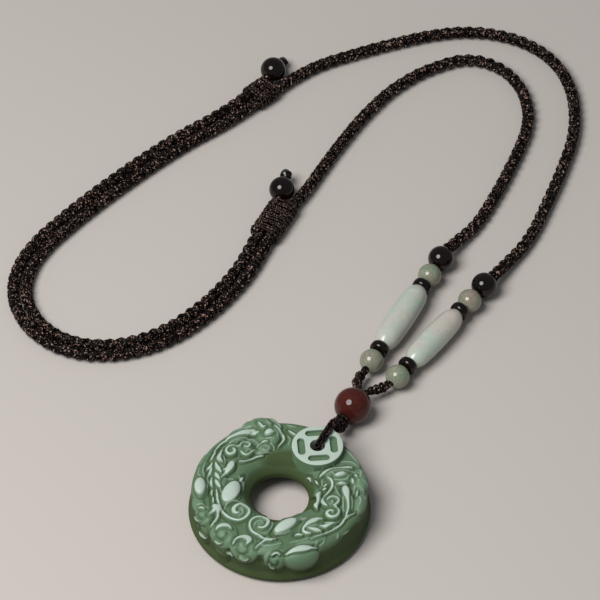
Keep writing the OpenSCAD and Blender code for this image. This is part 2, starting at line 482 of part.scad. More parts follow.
// Sleeve of fine thread round both cords at one end of the pair
module wrap(from, to, wrap_l) {
    dir = to - from;
    bore_r = cord_d / 2 + SLEEVE_CLEAR;
    color("#2c1a16") translate((from + to) / 2) rotate([90, 0, atan2(dir[1], dir[0]) - 90])
        translate([0, 0, -wrap_l / 2]) linear_extrude(wrap_l) difference() {
            pair_outline(bore_r + SLEEVE_WALL);
            pair_outline(bore_r);
        }
}

module pair_outline(r) {
    square([2 * LANE, 2 * r], center = true);
    for (s = [-1, 1]) translate([s * LANE, 0]) circle(r = r, $fn = EXACT);
}

// Tail of a cord: a thin core through its end bead, tied in a knot behind it
module end_knot(cord, at) {
    bead = [at[0], at[1], at[2]];
    reach_r = black_bead_d / 2;
    tail = norm(cord[len(cord) - 1] - bead) - TAIL_GAP;
    color("#241512") translate(bead) rotate([0, 90, at[3]]) {
        translate([0, 0, -tail]) cylinder(d = thread_d, h = tail + reach_r + 1.2, $fn = EXACT);
        translate([at[4], 0, sqrt(pow(reach_r + GAP + END_KNOT_R, 2) - pow(at[4], 2))])
            sphere(r = END_KNOT_R, $fn = EXACT);
    }
}

PAIR_LAST = len(PAIR_ROUTE) - 1;
pendant();
loop_cord();
collar_knot();
agate_bead();
lower_braid(BRAID_ROUTE_A);  // lower_braid_a
lower_braid(BRAID_ROUTE_B);  // lower_braid_b
bead_thread(ROW_A);  // bead_thread_a
bead_thread(ROW_B);  // bead_thread_b
jade_bead(ROW_A, -1);  // jade_bead_1
jade_bead(ROW_A, 1);  // jade_bead_2
jade_bead(ROW_B, -1);  // jade_bead_3
jade_bead(ROW_B, 1);  // jade_bead_4
black_disc(ROW_A, -1);  // black_disc_1
black_disc(ROW_A, 1);  // black_disc_2
black_disc(ROW_B, -1);  // black_disc_3
black_disc(ROW_B, 1);  // black_disc_4
barrel(ROW_A, barrel_a_d);  // barrel_bead_a
barrel(ROW_B, barrel_b_d);  // barrel_bead_b
black_bead(ROW_A);  // black_bead_1
black_bead(ROW_B);  // black_bead_2
end_bead(END_BEAD_A);  // black_bead_3
end_bead(END_BEAD_B);  // black_bead_4
neck_cord(CORD_A);  // neck_cord_a
neck_cord(CORD_B);  // neck_cord_b
wrap(PAIR_ROUTE[1], PAIR_ROUTE[0], wrap_1_l);  // wrap_1
wrap(PAIR_ROUTE[PAIR_LAST - 1], PAIR_ROUTE[PAIR_LAST], wrap_2_l);  // wrap_2
end_knot(CORD_A, END_BEAD_A);  // end_knot_a
end_knot(CORD_B, END_BEAD_B);  // end_knot_b
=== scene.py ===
import bpy
import numpy as np
from math import acos, atan2, copysign, cos, pi, radians, sin, sqrt
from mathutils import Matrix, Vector


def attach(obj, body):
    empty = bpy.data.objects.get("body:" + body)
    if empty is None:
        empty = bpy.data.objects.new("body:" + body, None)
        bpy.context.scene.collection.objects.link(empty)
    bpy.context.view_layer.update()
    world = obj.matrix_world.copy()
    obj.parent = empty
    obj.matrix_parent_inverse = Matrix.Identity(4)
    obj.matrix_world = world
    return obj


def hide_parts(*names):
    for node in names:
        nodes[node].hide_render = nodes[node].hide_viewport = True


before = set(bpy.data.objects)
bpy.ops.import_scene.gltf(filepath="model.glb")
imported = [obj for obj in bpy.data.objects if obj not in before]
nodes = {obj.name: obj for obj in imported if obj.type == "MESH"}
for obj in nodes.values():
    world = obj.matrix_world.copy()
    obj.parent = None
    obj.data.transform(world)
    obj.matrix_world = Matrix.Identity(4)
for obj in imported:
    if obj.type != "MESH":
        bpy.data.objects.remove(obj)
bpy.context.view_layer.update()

scene = bpy.context.scene


# The table and the view of it: the necklace lies on a plain pale table and is seen from 48
# degrees above, lit by one large round lamp at the upper left and by soft light all round.
TABLE_Z, TABLE_WIDTH = -0.0004, 6
EYE_PLACE = (0.0003, -1.1565, 1.3877)
EYE_TURN = (41.838, -0.150, -0.110)
EYE_FILM, EYE_LENS, EYE_REACH = 36, 360, 20
LAMP_TOWARDS = Vector((-0.40, -0.243, 0.88)).normalized()
LAMP_DISTANCE, LAMP_WIDTH, LAMP_WATTS = 0.9, 0.56, 8.7


def set_values(node, values):
    """Sets the node's inputs by name or number, and gives the node back."""
    for socket, value in dict(values).items():
        node.inputs[socket].default_value = value
    return node


def new_material(name, values):
    """A material, and its shader with the plain values set."""
    material = bpy.data.materials.new(name)
    material.use_nodes = True
    return material, set_values(material.node_tree.nodes["Principled BSDF"], values)


bpy.ops.object.select_all(action="DESELECT")
bpy.ops.object.camera_add(location=EYE_PLACE, rotation=[radians(turn) for turn in EYE_TURN])
eye = bpy.context.object
eye.name = "photo_view"
eye.data.sensor_width = EYE_FILM
eye.data.lens = EYE_LENS
eye.data.clip_end = EYE_REACH
scene.camera = eye

bpy.ops.object.light_add(type="AREA", location=LAMP_DISTANCE * LAMP_TOWARDS,
                         rotation=LAMP_TOWARDS.to_track_quat("Z", "Y").to_euler())
lamp = bpy.context.object
lamp.name = "round_lamp"
lamp.data.shape = "DISK"
lamp.data.size = LAMP_WIDTH
lamp.data.energy = LAMP_WATTS
lamp.data.color = (1.0, 0.99, 0.97)

world = bpy.data.worlds.new("soft_room")
world.use_nodes = True
set_values(world.node_tree.nodes["Background"], {"Color": (0.93, 0.96, 1.0, 1), "Strength": 0.20})
scene.world = world
scene.view_settings.view_transform = "Standard"

bpy.ops.mesh.primitive_plane_add(size=TABLE_WIDTH, location=(0, 0, TABLE_Z))
table = bpy.context.object
table.name = "table"
table_paint = new_material("pale_table", {"Base Color": (0.53, 0.49, 0.46, 1), "Roughness": 0.85})[0]
table.data.materials.append(table_paint)


# The two neck cords: round braids of dark brown nylon, each of four strands of three threads
# round a core. Both run from a bead row through the two sliding knots to a bead on their free
# end, and between the knots they lie side by side.
CORD_D, BRAID_PITCH, LYING_Z = 0.0041, 0.0071, 0.0021
LANE = CORD_D / 2
# Shares of a braid's diameter, by the threads in a strand: a thread's radius, how far the
# strand's middle lies from the braid's, and how far it weaves in and out. Then the core's.
THREAD_SHARES = {3: (0.086, 0.345, 0.069), 2: (0.115, 0.345, 0.069), 1: (0.17, 0.27, 0.06)}
CORE_SHARE = 0.30
# The threads of a strand: how far apart, in radii, how much lower at its edges, how far they fan
THREADS_APART, EDGE_LOWER, FAN = 1.9, 0.10, 1.25


def lying(route):
    """The route, whose points without a height lie on the table."""
    return [(*point, LYING_Z)[:3] for point in route]


arc_a = lying([
    (0.0661, 0.0916, 0.0043), (0.0700, 0.0975, 0.0030), (0.0775, 0.1090), (0.0845, 0.1260),
    (0.0900, 0.1420), (0.0930, 0.1530), (0.0940, 0.1645), (0.0925, 0.1765), (0.0880, 0.1865),
    (0.0805, 0.1940), (0.0710, 0.1985), (0.0610, 0.2000), (0.0510, 0.1990), (0.0385, 0.1955),
    (0.0225, 0.1895), (0.0125, 0.1850), (0.0050, 0.1797, 0.0022)])
arc_b = lying([
    (0.0524, 0.1034, 0.0043), (0.0558, 0.1082, 0.0030), (0.0610, 0.1150), (0.0675, 0.1275),
    (0.0730, 0.1405), (0.0765, 0.1500), (0.0787, 0.1580), (0.0790, 0.1665), (0.0760, 0.1770),
    (0.0695, 0.1845), (0.0605, 0.1875), (0.0510, 0.1848), (0.0385, 0.1765), (0.0285, 0.1650),
    (0.0190, 0.1500), (0.0126, 0.1383), (0.0084, 0.1303, 0.0023)])
side_by_side = lying([
    (-0.0030, 0.1751, 0.00275), (-0.0089, 0.1696, 0.00275), (-0.0146, 0.1645, 0.0023),
    (-0.0210, 0.1593), (-0.0295, 0.1530), (-0.0400, 0.1440), (-0.0500, 0.1345), (-0.0600, 0.1243),
    (-0.0680, 0.1153), (-0.0748, 0.1065), (-0.0792, 0.0975), (-0.0806, 0.0875), (-0.0780, 0.0775),
    (-0.0725, 0.0700), (-0.0645, 0.0650), (-0.0550, 0.0633), (-0.0450, 0.0648), (-0.0350, 0.0695),
    (-0.0255, 0.0773), (-0.0170, 0.0873), (-0.0110, 0.0968), (-0.0076, 0.1043, 0.0023),
    (-0.0049, 0.1103, 0.00275), (0.0016, 0.1230, 0.00275)])


def beside(middle, side):
    """The middle line of the pair, moved to one cord's own lane."""
    lane = []
    for i, point in enumerate(middle):
        along = Vector(middle[min(i + 1, len(middle) - 1)]) - Vector(middle[max(i - 1, 0)])
        lane.append(tuple(Vector(point) + side * LANE * Vector((-along.y, along.x, 0)).normalized()))
    return lane


def lay_line(name, route):
    """A smooth line through a cord's route, the points along it and its length."""
    line = bpy.data.curves.new(name + "_line", "CURVE")
    line.dimensions = "3D"
    line.resolution_u = 16
    line.twist_mode = "MINIMUM"
    spline = line.splines.new("BEZIER")
    spline.bezier_points.add(len(route) - 1)
    for knot, point in zip(spline.bezier_points, route):
        knot.co = point[:3]
        knot.radius = point[3] if len(point) > 3 else 1
        knot.handle_left_type = knot.handle_right_type = "AUTO"
    line_object = bpy.data.objects.new(name + "_line", line)
    scene.collection.objects.link(line_object)
    bpy.context.view_layer.update()
    shape = line_object.to_mesh()
    points = [v.co.copy() for v in shape.vertices]
    line_object.to_mesh_clear()
    return line_object, points, sum((b - a).length for a, b in zip(points, points[1:]))


def pick(*pieces):
    """Selects these pieces alone and makes the first of them active."""
    bpy.ops.object.select_all(action="DESELECT")
    for piece in pieces:
        piece.select_set(True)
    bpy.context.view_layer.objects.active = pieces[0]


def new_threads(name, radius, roundness):
    """Round threads of one radius, with none laid yet."""
    threads = bpy.data.curves.new(name, "CURVE")
    threads.dimensions = "3D"
    threads.bevel_depth = radius
    threads.bevel_resolution = roundness
    return threads


def lay_thread(threads, points, closed=False):
    """One thread through the points."""
    thread = threads.splines.new("POLY")
    thread.points.add(len(points) - 1)
    thread.use_cyclic_u = closed
    for knot, point in zip(thread.points, points):
        knot.co = (*point, 1)
    return thread


def made_mesh(name, threads):
    """The threads as one mesh piece, which is left selected."""
    piece = bpy.data.objects.new(name, threads)
    scene.collection.objects.link(piece)
    pick(piece)
    bpy.ops.object.convert(target="MESH")
    return bpy.context.object


def braid(name, route, diameter, pitch, threads, turn=0.0):
    """One turn of a round four-strand braid, repeated along the route and bent to it."""
    line_object, points, length = lay_line(name, route)
    turns = max(1, round(length / pitch))
    step = length / turns
    thread_r, middle_r, weave = [diameter * share for share in THREAD_SHARES[threads]]
    one = new_threads(name, thread_r, 1)
    rings = 20 if threads == 3 else 16
    for way in (1, -1):
        for half in (0, pi):
            for k in range(threads):
                spread = (k - (threads - 1) / 2) * THREADS_APART * thread_r / middle_r
                low = EDGE_LOWER * thread_r * abs(k - (threads - 1) / 2)
                thread = []
                for i in range(rings + 1):
                    a = way * 2 * pi * i / rings + half + FAN * spread
                    r = middle_r - low + way * weave * cos(2 * (a - FAN * spread))
                    thread.append((step * i / rings, r * cos(a + turn), r * sin(a + turn)))
                lay_thread(one, thread)
    core = lay_thread(one, [(step * i / (rings // 4), 0, 0) for i in range(rings // 4 + 1)])
    for knot in core.points:
        knot.radius = CORE_SHARE * diameter / thread_r
    rope = made_mesh(name, one)
    repeat = rope.modifiers.new("turns", "ARRAY")
    repeat.count = turns
    repeat.use_relative_offset = False
    repeat.use_constant_offset = True
    repeat.constant_offset_displace = (step, 0, 0)
    repeat.use_merge_vertices = True
    repeat.merge_threshold = 0.00001
    follow = rope.modifiers.new("route", "CURVE")
    follow.object = line_object
    follow.deform_axis = "POS_X"
    for modifier in ("turns", "route"):
        bpy.ops.object.modifier_apply(modifier=modifier)
    bpy.data.objects.remove(line_object)
    bpy.ops.object.shade_smooth()
    return rope, points, length


def put_node(tree, kind, values=(), **settings):
    """A new shader node in the tree, with its settings and the values of its inputs."""
    node = tree.nodes.new("ShaderNode" + kind)
    for name, value in settings.items():
        setattr(node, name, value)
    return set_values(node, values)


def wire(source, output, target, socket):
    """Links an output of one node to an input of another."""
    source.id_data.links.new(source.outputs[output], target.inputs[socket])


# Fine fibres along the thread, shared by everything that is made of nylon thread: their bumps
# and roughness, and paler flecks painted into the colour as glints of light on the fibres
fibres_and_glints = bpy.data.node_groups.new("nylon_fibres_and_glints", "ShaderNodeTree")
for name, way, kind in (("Dark", "INPUT", "Color"), ("Light", "INPUT", "Color"),
                        ("Scale", "INPUT", "Float"), ("Color", "OUTPUT", "Color"),
                        ("Height", "OUTPUT", "Float"), ("Roughness", "OUTPUT", "Float")):
    fibres_and_glints.interface.new_socket(name=name, in_out=way, socket_type="NodeSocket" + kind)
given = fibres_and_glints.nodes.new("NodeGroupInput")
gives = fibres_and_glints.nodes.new("NodeGroupOutput")
where = put_node(fibres_and_glints, "TexCoord")
fibre_bumps_and_glints = put_node(fibres_and_glints, "TexNoise", {"Detail": 3, "Roughness": 0.6})
# the paler flecks are painted glints of light on the fibres
glint_mask = put_node(fibres_and_glints, "MapRange", {"From Min": 0.575, "From Max": 0.66})
mix = put_node(fibres_and_glints, "Mix", data_type="RGBA")
rough = put_node(fibres_and_glints, "MapRange", {"To Min": 0.34, "To Max": 0.58})
wire(where, "Object", fibre_bumps_and_glints, "Vector")
wire(given, "Scale", fibre_bumps_and_glints, "Scale")
wire(fibre_bumps_and_glints, "Fac", glint_mask, "Value")
wire(glint_mask, "Result", mix, "Factor")
wire(given, "Dark", mix, "A")
wire(given, "Light", mix, "B")
wire(fibre_bumps_and_glints, "Fac", rough, "Value")
wire(mix, "Result", gives, "Color")
wire(fibre_bumps_and_glints, "Fac", gives, "Height")
wire(rough, "Result", gives, "Roughness")


def thread_material(name, dark, glint_colour, scale, bump, shine):
    """Nylon thread: dark, with paler flecks painted on as glints of light on its fibres."""
    material, nylon = new_material(name, {"Specular IOR Level": shine})
    group = put_node(material.node_tree, "Group",
                     {"Dark": (*dark, 1), "Light": (*glint_colour, 1), "Scale": scale}, node_tree=fibres_and_glints)
    raised = put_node(material.node_tree, "Bump", {"Strength": bump, "Distance": 0.0002})
    wire(group, "Color", nylon, "Base Color")
    wire(group, "Roughness", nylon, "Roughness")
    wire(group, "Height", raised, "Height")
    wire(raised, "Normal", nylon, "Normal")
    return material


cord_nylon = thread_material("cord_nylon", (0.0020, 0.0008, 0.0007), (0.42, 0.27, 0.215), 1500, 0.5, 0.1)

cord_a, line_a, length_a = braid("braided_cord_a", arc_a + beside(side_by_side, 1), CORD_D,
                                 BRAID_PITCH, 3, turn=0.6)
cord_b, line_b, length_b = braid("braided_cord_b", arc_b + beside(side_by_side, -1)[::-1], CORD_D,
                                 BRAID_PITCH, 3, turn=0.9)
for cord in (cord_a, cord_b):
    cord.data.materials.append(cord_nylon)
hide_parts("neck_cord_a")
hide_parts("neck_cord_b")


# The sliding knots: a sleeve of thin cord knotted tightly round both neck cords, which holds
# them side by side and slides on them to set the necklace's length.
SLEEVE_PITCH, SLEEVE_THREAD_R, SLEEVE_STEPS = 0.00064, 0.00033, 44
SLEEVE_OUT, SLEEVE_SLANT = 0.00238, 0.00042
LOOPS_OUT, LOOPS_EVERY = 0.00045, 0.003
sleeve_thread = thread_material("sleeve_thread", (0.0022, 0.0009, 0.0008), (0.44, 0.28, 0.225),
                                2900, 0.8, 0.1)
for name, length, start, end in (("wrap_1", 0.0078, side_by_side[1], side_by_side[0]),
                                 ("wrap_2", 0.0140, side_by_side[-2], side_by_side[-1])):
    start, end = Vector(start), Vector(end)
    along = (end - start).normalized()
    across = Vector((-along.y, along.x, 0))
    up = along.cross(across)
    middle = (start + end) / 2
    winding = new_threads("sliding_" + name, SLEEVE_THREAD_R, 1)
    count = round(length / SLEEVE_PITCH)
    for turn in range(count):
        at = (turn + 0.5) * length / count - length / 2
        # on the long sleeve the knots' own loops stand out along one edge, every three millimetres
        loops = LOOPS_OUT * (name == "wrap_2") * (0.5 + 0.5 * cos(2 * pi * at / LOOPS_EVERY))
        thread = []
        for i in range(SLEEVE_STEPS):
            a = 2 * pi * i / SLEEVE_STEPS
            side = LANE if cos(a) > 0.02 else -LANE if cos(a) < -0.02 else 0
            out = SLEEVE_OUT + 0.00008 * sin(1.7 * turn) + loops * max(cos(a), 0) ** 2
            slant = SLEEVE_SLANT * sin(a + 2.4 * turn)
            thread.append(middle + along * (at + slant)
                          + across * (side + out * cos(a)) + up * (out * sin(a)))
        lay_thread(winding, thread, closed=True)
    sleeve = made_mesh("sliding_" + name, winding)
    bpy.ops.object.shade_smooth()
    sleeve.data.materials.append(sleeve_thread)
    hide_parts(name)
    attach(sleeve, "root")


# The free ends: each neck cord ends in a round black bead, held on by a small knot whose end
# is melted to a ball. A short tail runs from the knot through the bead.
KNOT_R, END_BEAD_R, KNOT_GAP = 0.0020, 0.00405, 0.00015
TAIL_R, TAIL_LENGTH = 0.0008, 0.0100
knot_nylon = thread_material("knot_nylon", (0.0030, 0.0012, 0.0010), (0.009, 0.004, 0.003),
                             1500, 0.2, 0.45)
melted = knot_nylon.node_tree.nodes["Principled BSDF"].inputs["Roughness"]
knot_nylon.node_tree.links.remove(melted.links[0])
melted.default_value = 0.15
end_knots = {}
for name, at, turn, drop in (("end_knot_a", (0.0007, 0.1290, 0.0041), 78, 0),
                             ("end_knot_b", (-0.0021, 0.1812, 0.0042), 60, 0.0021)):
    axis = Vector((cos(radians(turn)), sin(radians(turn)), 0))
    to_place = axis.to_track_quat("Z", "Y")
    apart = END_BEAD_R + KNOT_GAP + KNOT_R
    middle = Vector(at) + axis * sqrt(apart ** 2 - drop ** 2) - Vector((0, 0, drop))
    bpy.ops.object.select_all(action="DESELECT")
    bpy.ops.mesh.primitive_uv_sphere_add(segments=48, ring_count=32, radius=KNOT_R)
    ball = bpy.context.object
    ball.name = name + "_tied"
    for vertex in ball.data.vertices:
        co = vertex.co.copy()
        around = atan2(co.y, co.x)
        tilt = acos(max(-1, min(1, co.z / KNOT_R)))
        # two crossing turns of thread, pressed together
        swell = 0.055 * cos(6 * tilt + 2 * around) - 0.05 * (1 - sin(tilt)) ** 2
        vertex.co = middle + to_place @ (co * (0.95 + swell))
    ball.data.materials.append(knot_nylon)
    bpy.ops.mesh.primitive_cylinder_add(vertices=20, radius=TAIL_R, depth=TAIL_LENGTH)
    tail = bpy.context.object
    for vertex in tail.data.vertices:
        vertex.co = Vector(at) + to_place @ vertex.co
    tail.data.materials.append(cord_nylon)
    pick(ball, tail)
    bpy.ops.object.join()
    bpy.ops.object.shade_smooth()
    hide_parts(name)
    end_knots[name] = ball

for piece in (cord_a, cord_b, *end_knots.values()):
    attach(piece, "root")


# The short braids between the round bead and the two bead rows: four strands of two threads
# of the same nylon. The last number of each point is how full the braid is there.
SHORT_D, SHORT_PITCH = 0.0034, 0.0054
lower_a = [(0.0261, 0.0432, 0.0053, 0.5), (0.0280, 0.0446, 0.0046, 0.85), (0.0302, 0.0458, 0.0040, 1),
           (0.0320, 0.0468, 0.0040, 1), (0.0333, 0.0476, 0.0043, 0.75)]
lower_b = [(0.0244, 0.0439, 0.0053, 0.5), (0.0239, 0.0458, 0.0046, 0.85), (0.0237, 0.0486, 0.0038, 1),
           (0.0247, 0.0511, 0.0039, 1), (0.0263, 0.0532, 0.0043, 0.75)]
for name, route in (("lower_braid_a", lower_a), ("lower_braid_b", lower_b)):
    short_braid = braid(name + "_plaited", route, SHORT_D, SHORT_PITCH, 2, turn=0.4)[0]
    short_braid.data.materials.append(cord_nylon)
    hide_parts(name)
    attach(short_braid, "root")


# The thin cord that holds the ring: doubled, it runs over the coin, down its hole and back
# under the ring, and both ends go up into the knot under the round bead.
LOOP_APART, LOOP_TURN = 0.00060, radians(66)
LOOP_STRAND_D, LOOP_STRAND_PITCH = 0.0015, 0.0034
loop_nylon = thread_material("loop_nylon", (0.0022, 0.0009, 0.0008), (0.19, 0.11, 0.085), 1500, 0.4, 0.1)
loop_route = [(0.0173, 0.0276, 0.0074), (0.0169, 0.0259, 0.0112), (0.0163, 0.0236, 0.0144),
              (0.0153, 0.0209, 0.0155), (0.0136, 0.0174, 0.0156), (0.0124, 0.0152, 0.0154),
              (0.0116, 0.0139, 0.0142), (0.0114, 0.0136, 0.0110), (0.0114, 0.0137, 0.0050),
              (0.0117, 0.0144, 0.0021), (0.0129, 0.0166, 0.0011), (0.0155, 0.0219, 0.0011),
              (0.0170, 0.0250, 0.0014), (0.0174, 0.0274, 0.0036)]
loop_across = Vector((-sin(LOOP_TURN), cos(LOOP_TURN), 0))
middle_line, loop_points, loop_length = lay_line("loop_middle", loop_route)
bpy.data.objects.remove(middle_line)
loop_strands = []
for side in (-1, 1):
    strand_route = [tuple(Vector(point) + side * LOOP_APART * loop_across) for point in loop_route]
    loop_strands.append(braid("loop_strand", strand_route, LOOP_STRAND_D, LOOP_STRAND_PITCH, 1,
                              turn=side * 0.5)[0])
pick(*loop_strands)
bpy.ops.object.join()
loop = bpy.context.object
loop.name = "doubled_loop_cord"
loop.data.materials.clear()
loop.data.materials.append(loop_nylon)
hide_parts("loop_cord")
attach(loop, "root")


# The collar knot: the loop's ends are knotted under the round bead by turns of the same cord,
# and its strands run on through the bead's bore.
AGATE_AT, AGATE_TURN = Vector((0.0223, 0.0376, 0.0057)), radians(61)
COLLAR_THREAD_R, COLLAR_STEPS = 0.00062, 40
# The four strands inside the bead: how far from its middle line, from where, how long
BORE_R, BORE_FROM, BORE_RUN, BORE_STEPS = 0.00066, -0.0104, 0.0155, 23
agate_axis = Vector((cos(AGATE_TURN), sin(AGATE_TURN), 0))
agate_side = Vector((-agate_axis.y, agate_axis.x, 0))


def round_bore(along, radius, a):
    """A point round the line of the agate's bore."""
    return (AGATE_AT + agate_axis * along + agate_side * radius * cos(a)
            + Vector((0, 0, radius * sin(a))))


turns = new_threads("collar_knot_tied", COLLAR_THREAD_R, 3)
for at, radius, lean in ((-0.0068, 0.00165, 0.35), (-0.0078, 0.00200, -0.30), (-0.0089, 0.00190, 0.35),
                         (-0.0100, 0.00150, -0.35)):
    circle = [2 * pi * i / COLLAR_STEPS for i in range(COLLAR_STEPS)]
    lay_thread(turns, [round_bore(at + lean * radius * sin(a), radius, a) for a in circle], closed=True)
for k in range(4):
    lay_thread(turns, [round_bore(BORE_FROM + BORE_RUN * i / BORE_STEPS, BORE_R,
                                  pi / 2 * k + 2.2 * pi * i / BORE_STEPS) for i in range(BORE_STEPS + 1)])
collar = made_mesh("collar_knot_tied", turns)
bpy.ops.object.shade_smooth()
collar.data.materials.append(loop_nylon)
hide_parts("collar_knot")
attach(collar, "root")


# The beads of the two rows and of the free ends: turned, drilled and polished stones. The round
# green ones and the long barrels are jade, the dark red one agate, the rest black onyx. All are
# mottled by soft clouds, fine grains and a few thin veins, as the ring is too.
mottling = bpy.data.node_groups.new("stone_mottling", "ShaderNodeTree")
for name, way in (("Scale", "INPUT"), ("Clouds", "OUTPUT"), ("Grains", "OUTPUT"), ("Veins", "OUTPUT")):
    mottling.interface.new_socket(name=name, in_out=way, socket_type="NodeSocketFloat")
given = mottling.nodes.new("NodeGroupInput")
gives = mottling.nodes.new("NodeGroupOutput")
where = put_node(mottling, "TexCoord")
cloud_noise = put_node(mottling, "TexNoise", {"Detail": 4, "Distortion": 0.6})
grain_noise = put_node(mottling, "TexNoise", {"Detail": 3, "Roughness": 0.65})
vein_noise = put_node(mottling, "TexNoise", {"Detail": 5, "Distortion": 1.6})
grain_scale = put_node(mottling, "Math", {1: 7}, operation="MULTIPLY")
off_middle = put_node(mottling, "Math", {1: 0.5}, operation="SUBTRACT")
distance = put_node(mottling, "Math", operation="ABSOLUTE")
wire(given, "Scale", cloud_noise, "Scale")
wire(given, "Scale", grain_scale, 0)
wire(grain_scale, "Value", grain_noise, "Scale")
wire(given, "Scale", vein_noise, "Scale")
for noise in (cloud_noise, grain_noise, vein_noise):
    wire(where, "Object", noise, "Vector")
wire(vein_noise, "Fac", off_middle, 0)
wire(off_middle, "Value", distance, 0)
for source, output, low, high, name in ((cloud_noise, "Fac", 0.36, 0.64, "Clouds"),
                                        (grain_noise, "Fac", 0.34, 0.68, "Grains"),
                                        (distance, "Value", 0.03, 0.0, "Veins")):
    spread = put_node(mottling, "MapRange", {"From Min": low, "From Max": high})
    wire(source, output, spread, "Value")
    wire(spread, "Result", gives, name)


def mixed_over(below, colours, weight, output):
    """A colour laid over those mixed so far, as much as the weight node's output says."""
    mix = put_node(weight.id_data, "Mix", colours, data_type="RGBA")
    wire(weight, output, mix, "Factor")
    if below:
        wire(below, "Result", mix, "A")
    return mix


def stone_material(name, scale, body, clouds, grains, veins, roughness, grain_share=0.4, vein_share=0.3,
                   shine=0.5):
    """Polished stone whose body colour is broken by clouds, grains and veins of other colours."""
    material, stone = new_material(name, {"Roughness": roughness, "Specular IOR Level": shine})
    group = put_node(material.node_tree, "Group", {"Scale": scale}, node_tree=mottling)
    below = None
    for name, other, share in (("Clouds", clouds, 1.0), ("Grains", grains, grain_share),
                               ("Veins", veins, vein_share)):
        weight = put_node(material.node_tree, "Math", {1: share}, operation="MULTIPLY")
        wire(group, name, weight, 0)
        below = mixed_over(below, {"A": (*body, 1), "B": (*other, 1)}, weight, "Value")
    wire(below, "Result", stone, "Base Color")
    return material


agate = stone_material("dark_red_agate", 160, (0.055, 0.010, 0.007), (0.075, 0.014, 0.009),
                       (0.040, 0.008, 0.006), (0.10, 0.026, 0.016), 0.05, shine=0.3)
bead_jade = stone_material("speckled_bead_jade", 210, (0.19, 0.19, 0.145), (0.11, 0.25, 0.15),
                           (0.36, 0.26, 0.21), (0.36, 0.38, 0.32), 0.08, 0.8, 0.4)
barrel_jade = stone_material("pale_barrel_jade", 90, (0.52, 0.465, 0.42), (0.42, 0.52, 0.44),
                             (0.54, 0.52, 0.47), (0.58, 0.60, 0.54), 0.17, 0.35, 0.4)
onyx = stone_material("black_onyx", 200, (0.0045, 0.0020, 0.0018), (0.007, 0.003, 0.0026),
                      (0.003, 0.0015, 0.0015), (0.010, 0.005, 0.004), 0.045, shine=0.38)
finishes = {"agate_bead": agate}
for k in (1, 2, 3, 4):
    finishes["jade_bead_%d" % k] = bead_jade
    finishes["black_disc_%d" % k] = onyx
    finishes["black_bead_%d" % k] = onyx
for row in "ab":
    finishes["barrel_bead_" + row] = barrel_jade
    finishes["bead_thread_" + row] = cord_nylon
for name, material in finishes.items():
    nodes[name].data.materials.clear()
    nodes[name].data.materials.append(material)


# The carved ring: one block of mottled green jade, drilled through and cut in low relief with two
# curled beasts, clouds and ribbons, and with an old coin at its upper edge whose drilled hole
# takes the cord. The raised lines, pads and the coin's face are painted pale, partly the stone's
# own paler colour and partly a painted reflection of the light on their flat polished tops, and
# painted shade darkens the ditches, grooves, lower walls and the side of the hole.
MM = 0.001
# Sizes in millimetres, those of the carving on the ring's unrolled top, from the hole outwards
RING_R, RING_H, HOLE_R, WAIST_R = 27.4, 13.0, 8.8, 8.6
INNER_ROUND, RIM_ROUND, FOOT_ROUND, LOWER_FLARE = 5.8, 3.5, 1.8, 1.8
CROWN_IN = WAIST_R + INNER_ROUND
CROWN_OUT = RING_R - RIM_ROUND
INNER_LEN = 9.7
WALL_START = CROWN_OUT + RIM_ROUND * pi / 2
WALL_END = WALL_START + RING_H - RIM_ROUND - FOOT_ROUND
HOLE_PLAIN, HOLE_FADE, WALL_FADE = 5.2, 3.6, 2.5
# The relief: how far all of it is set down, a line's height, the share of a hair, the depth of
# ditches beside lines and of grooves, and the width of the edge of each
CARVE_DEPTH, RIDGE_H, HAIR_H, DITCH_DEPTH, GROOVE_DEPTH = 0.9, 0.45, 0.5, 0.25, 0.5
LINE_EDGE, HAIR_EDGE, GROOVE_EDGE, PAD_EDGE = 0.32, 0.3, 0.75, 0.36
LINE_DITCH_AT, PAD_DITCH_AT, DITCH_WIDTH = 0.62, 0.45, 0.3
STROKE_REACH = 1.8

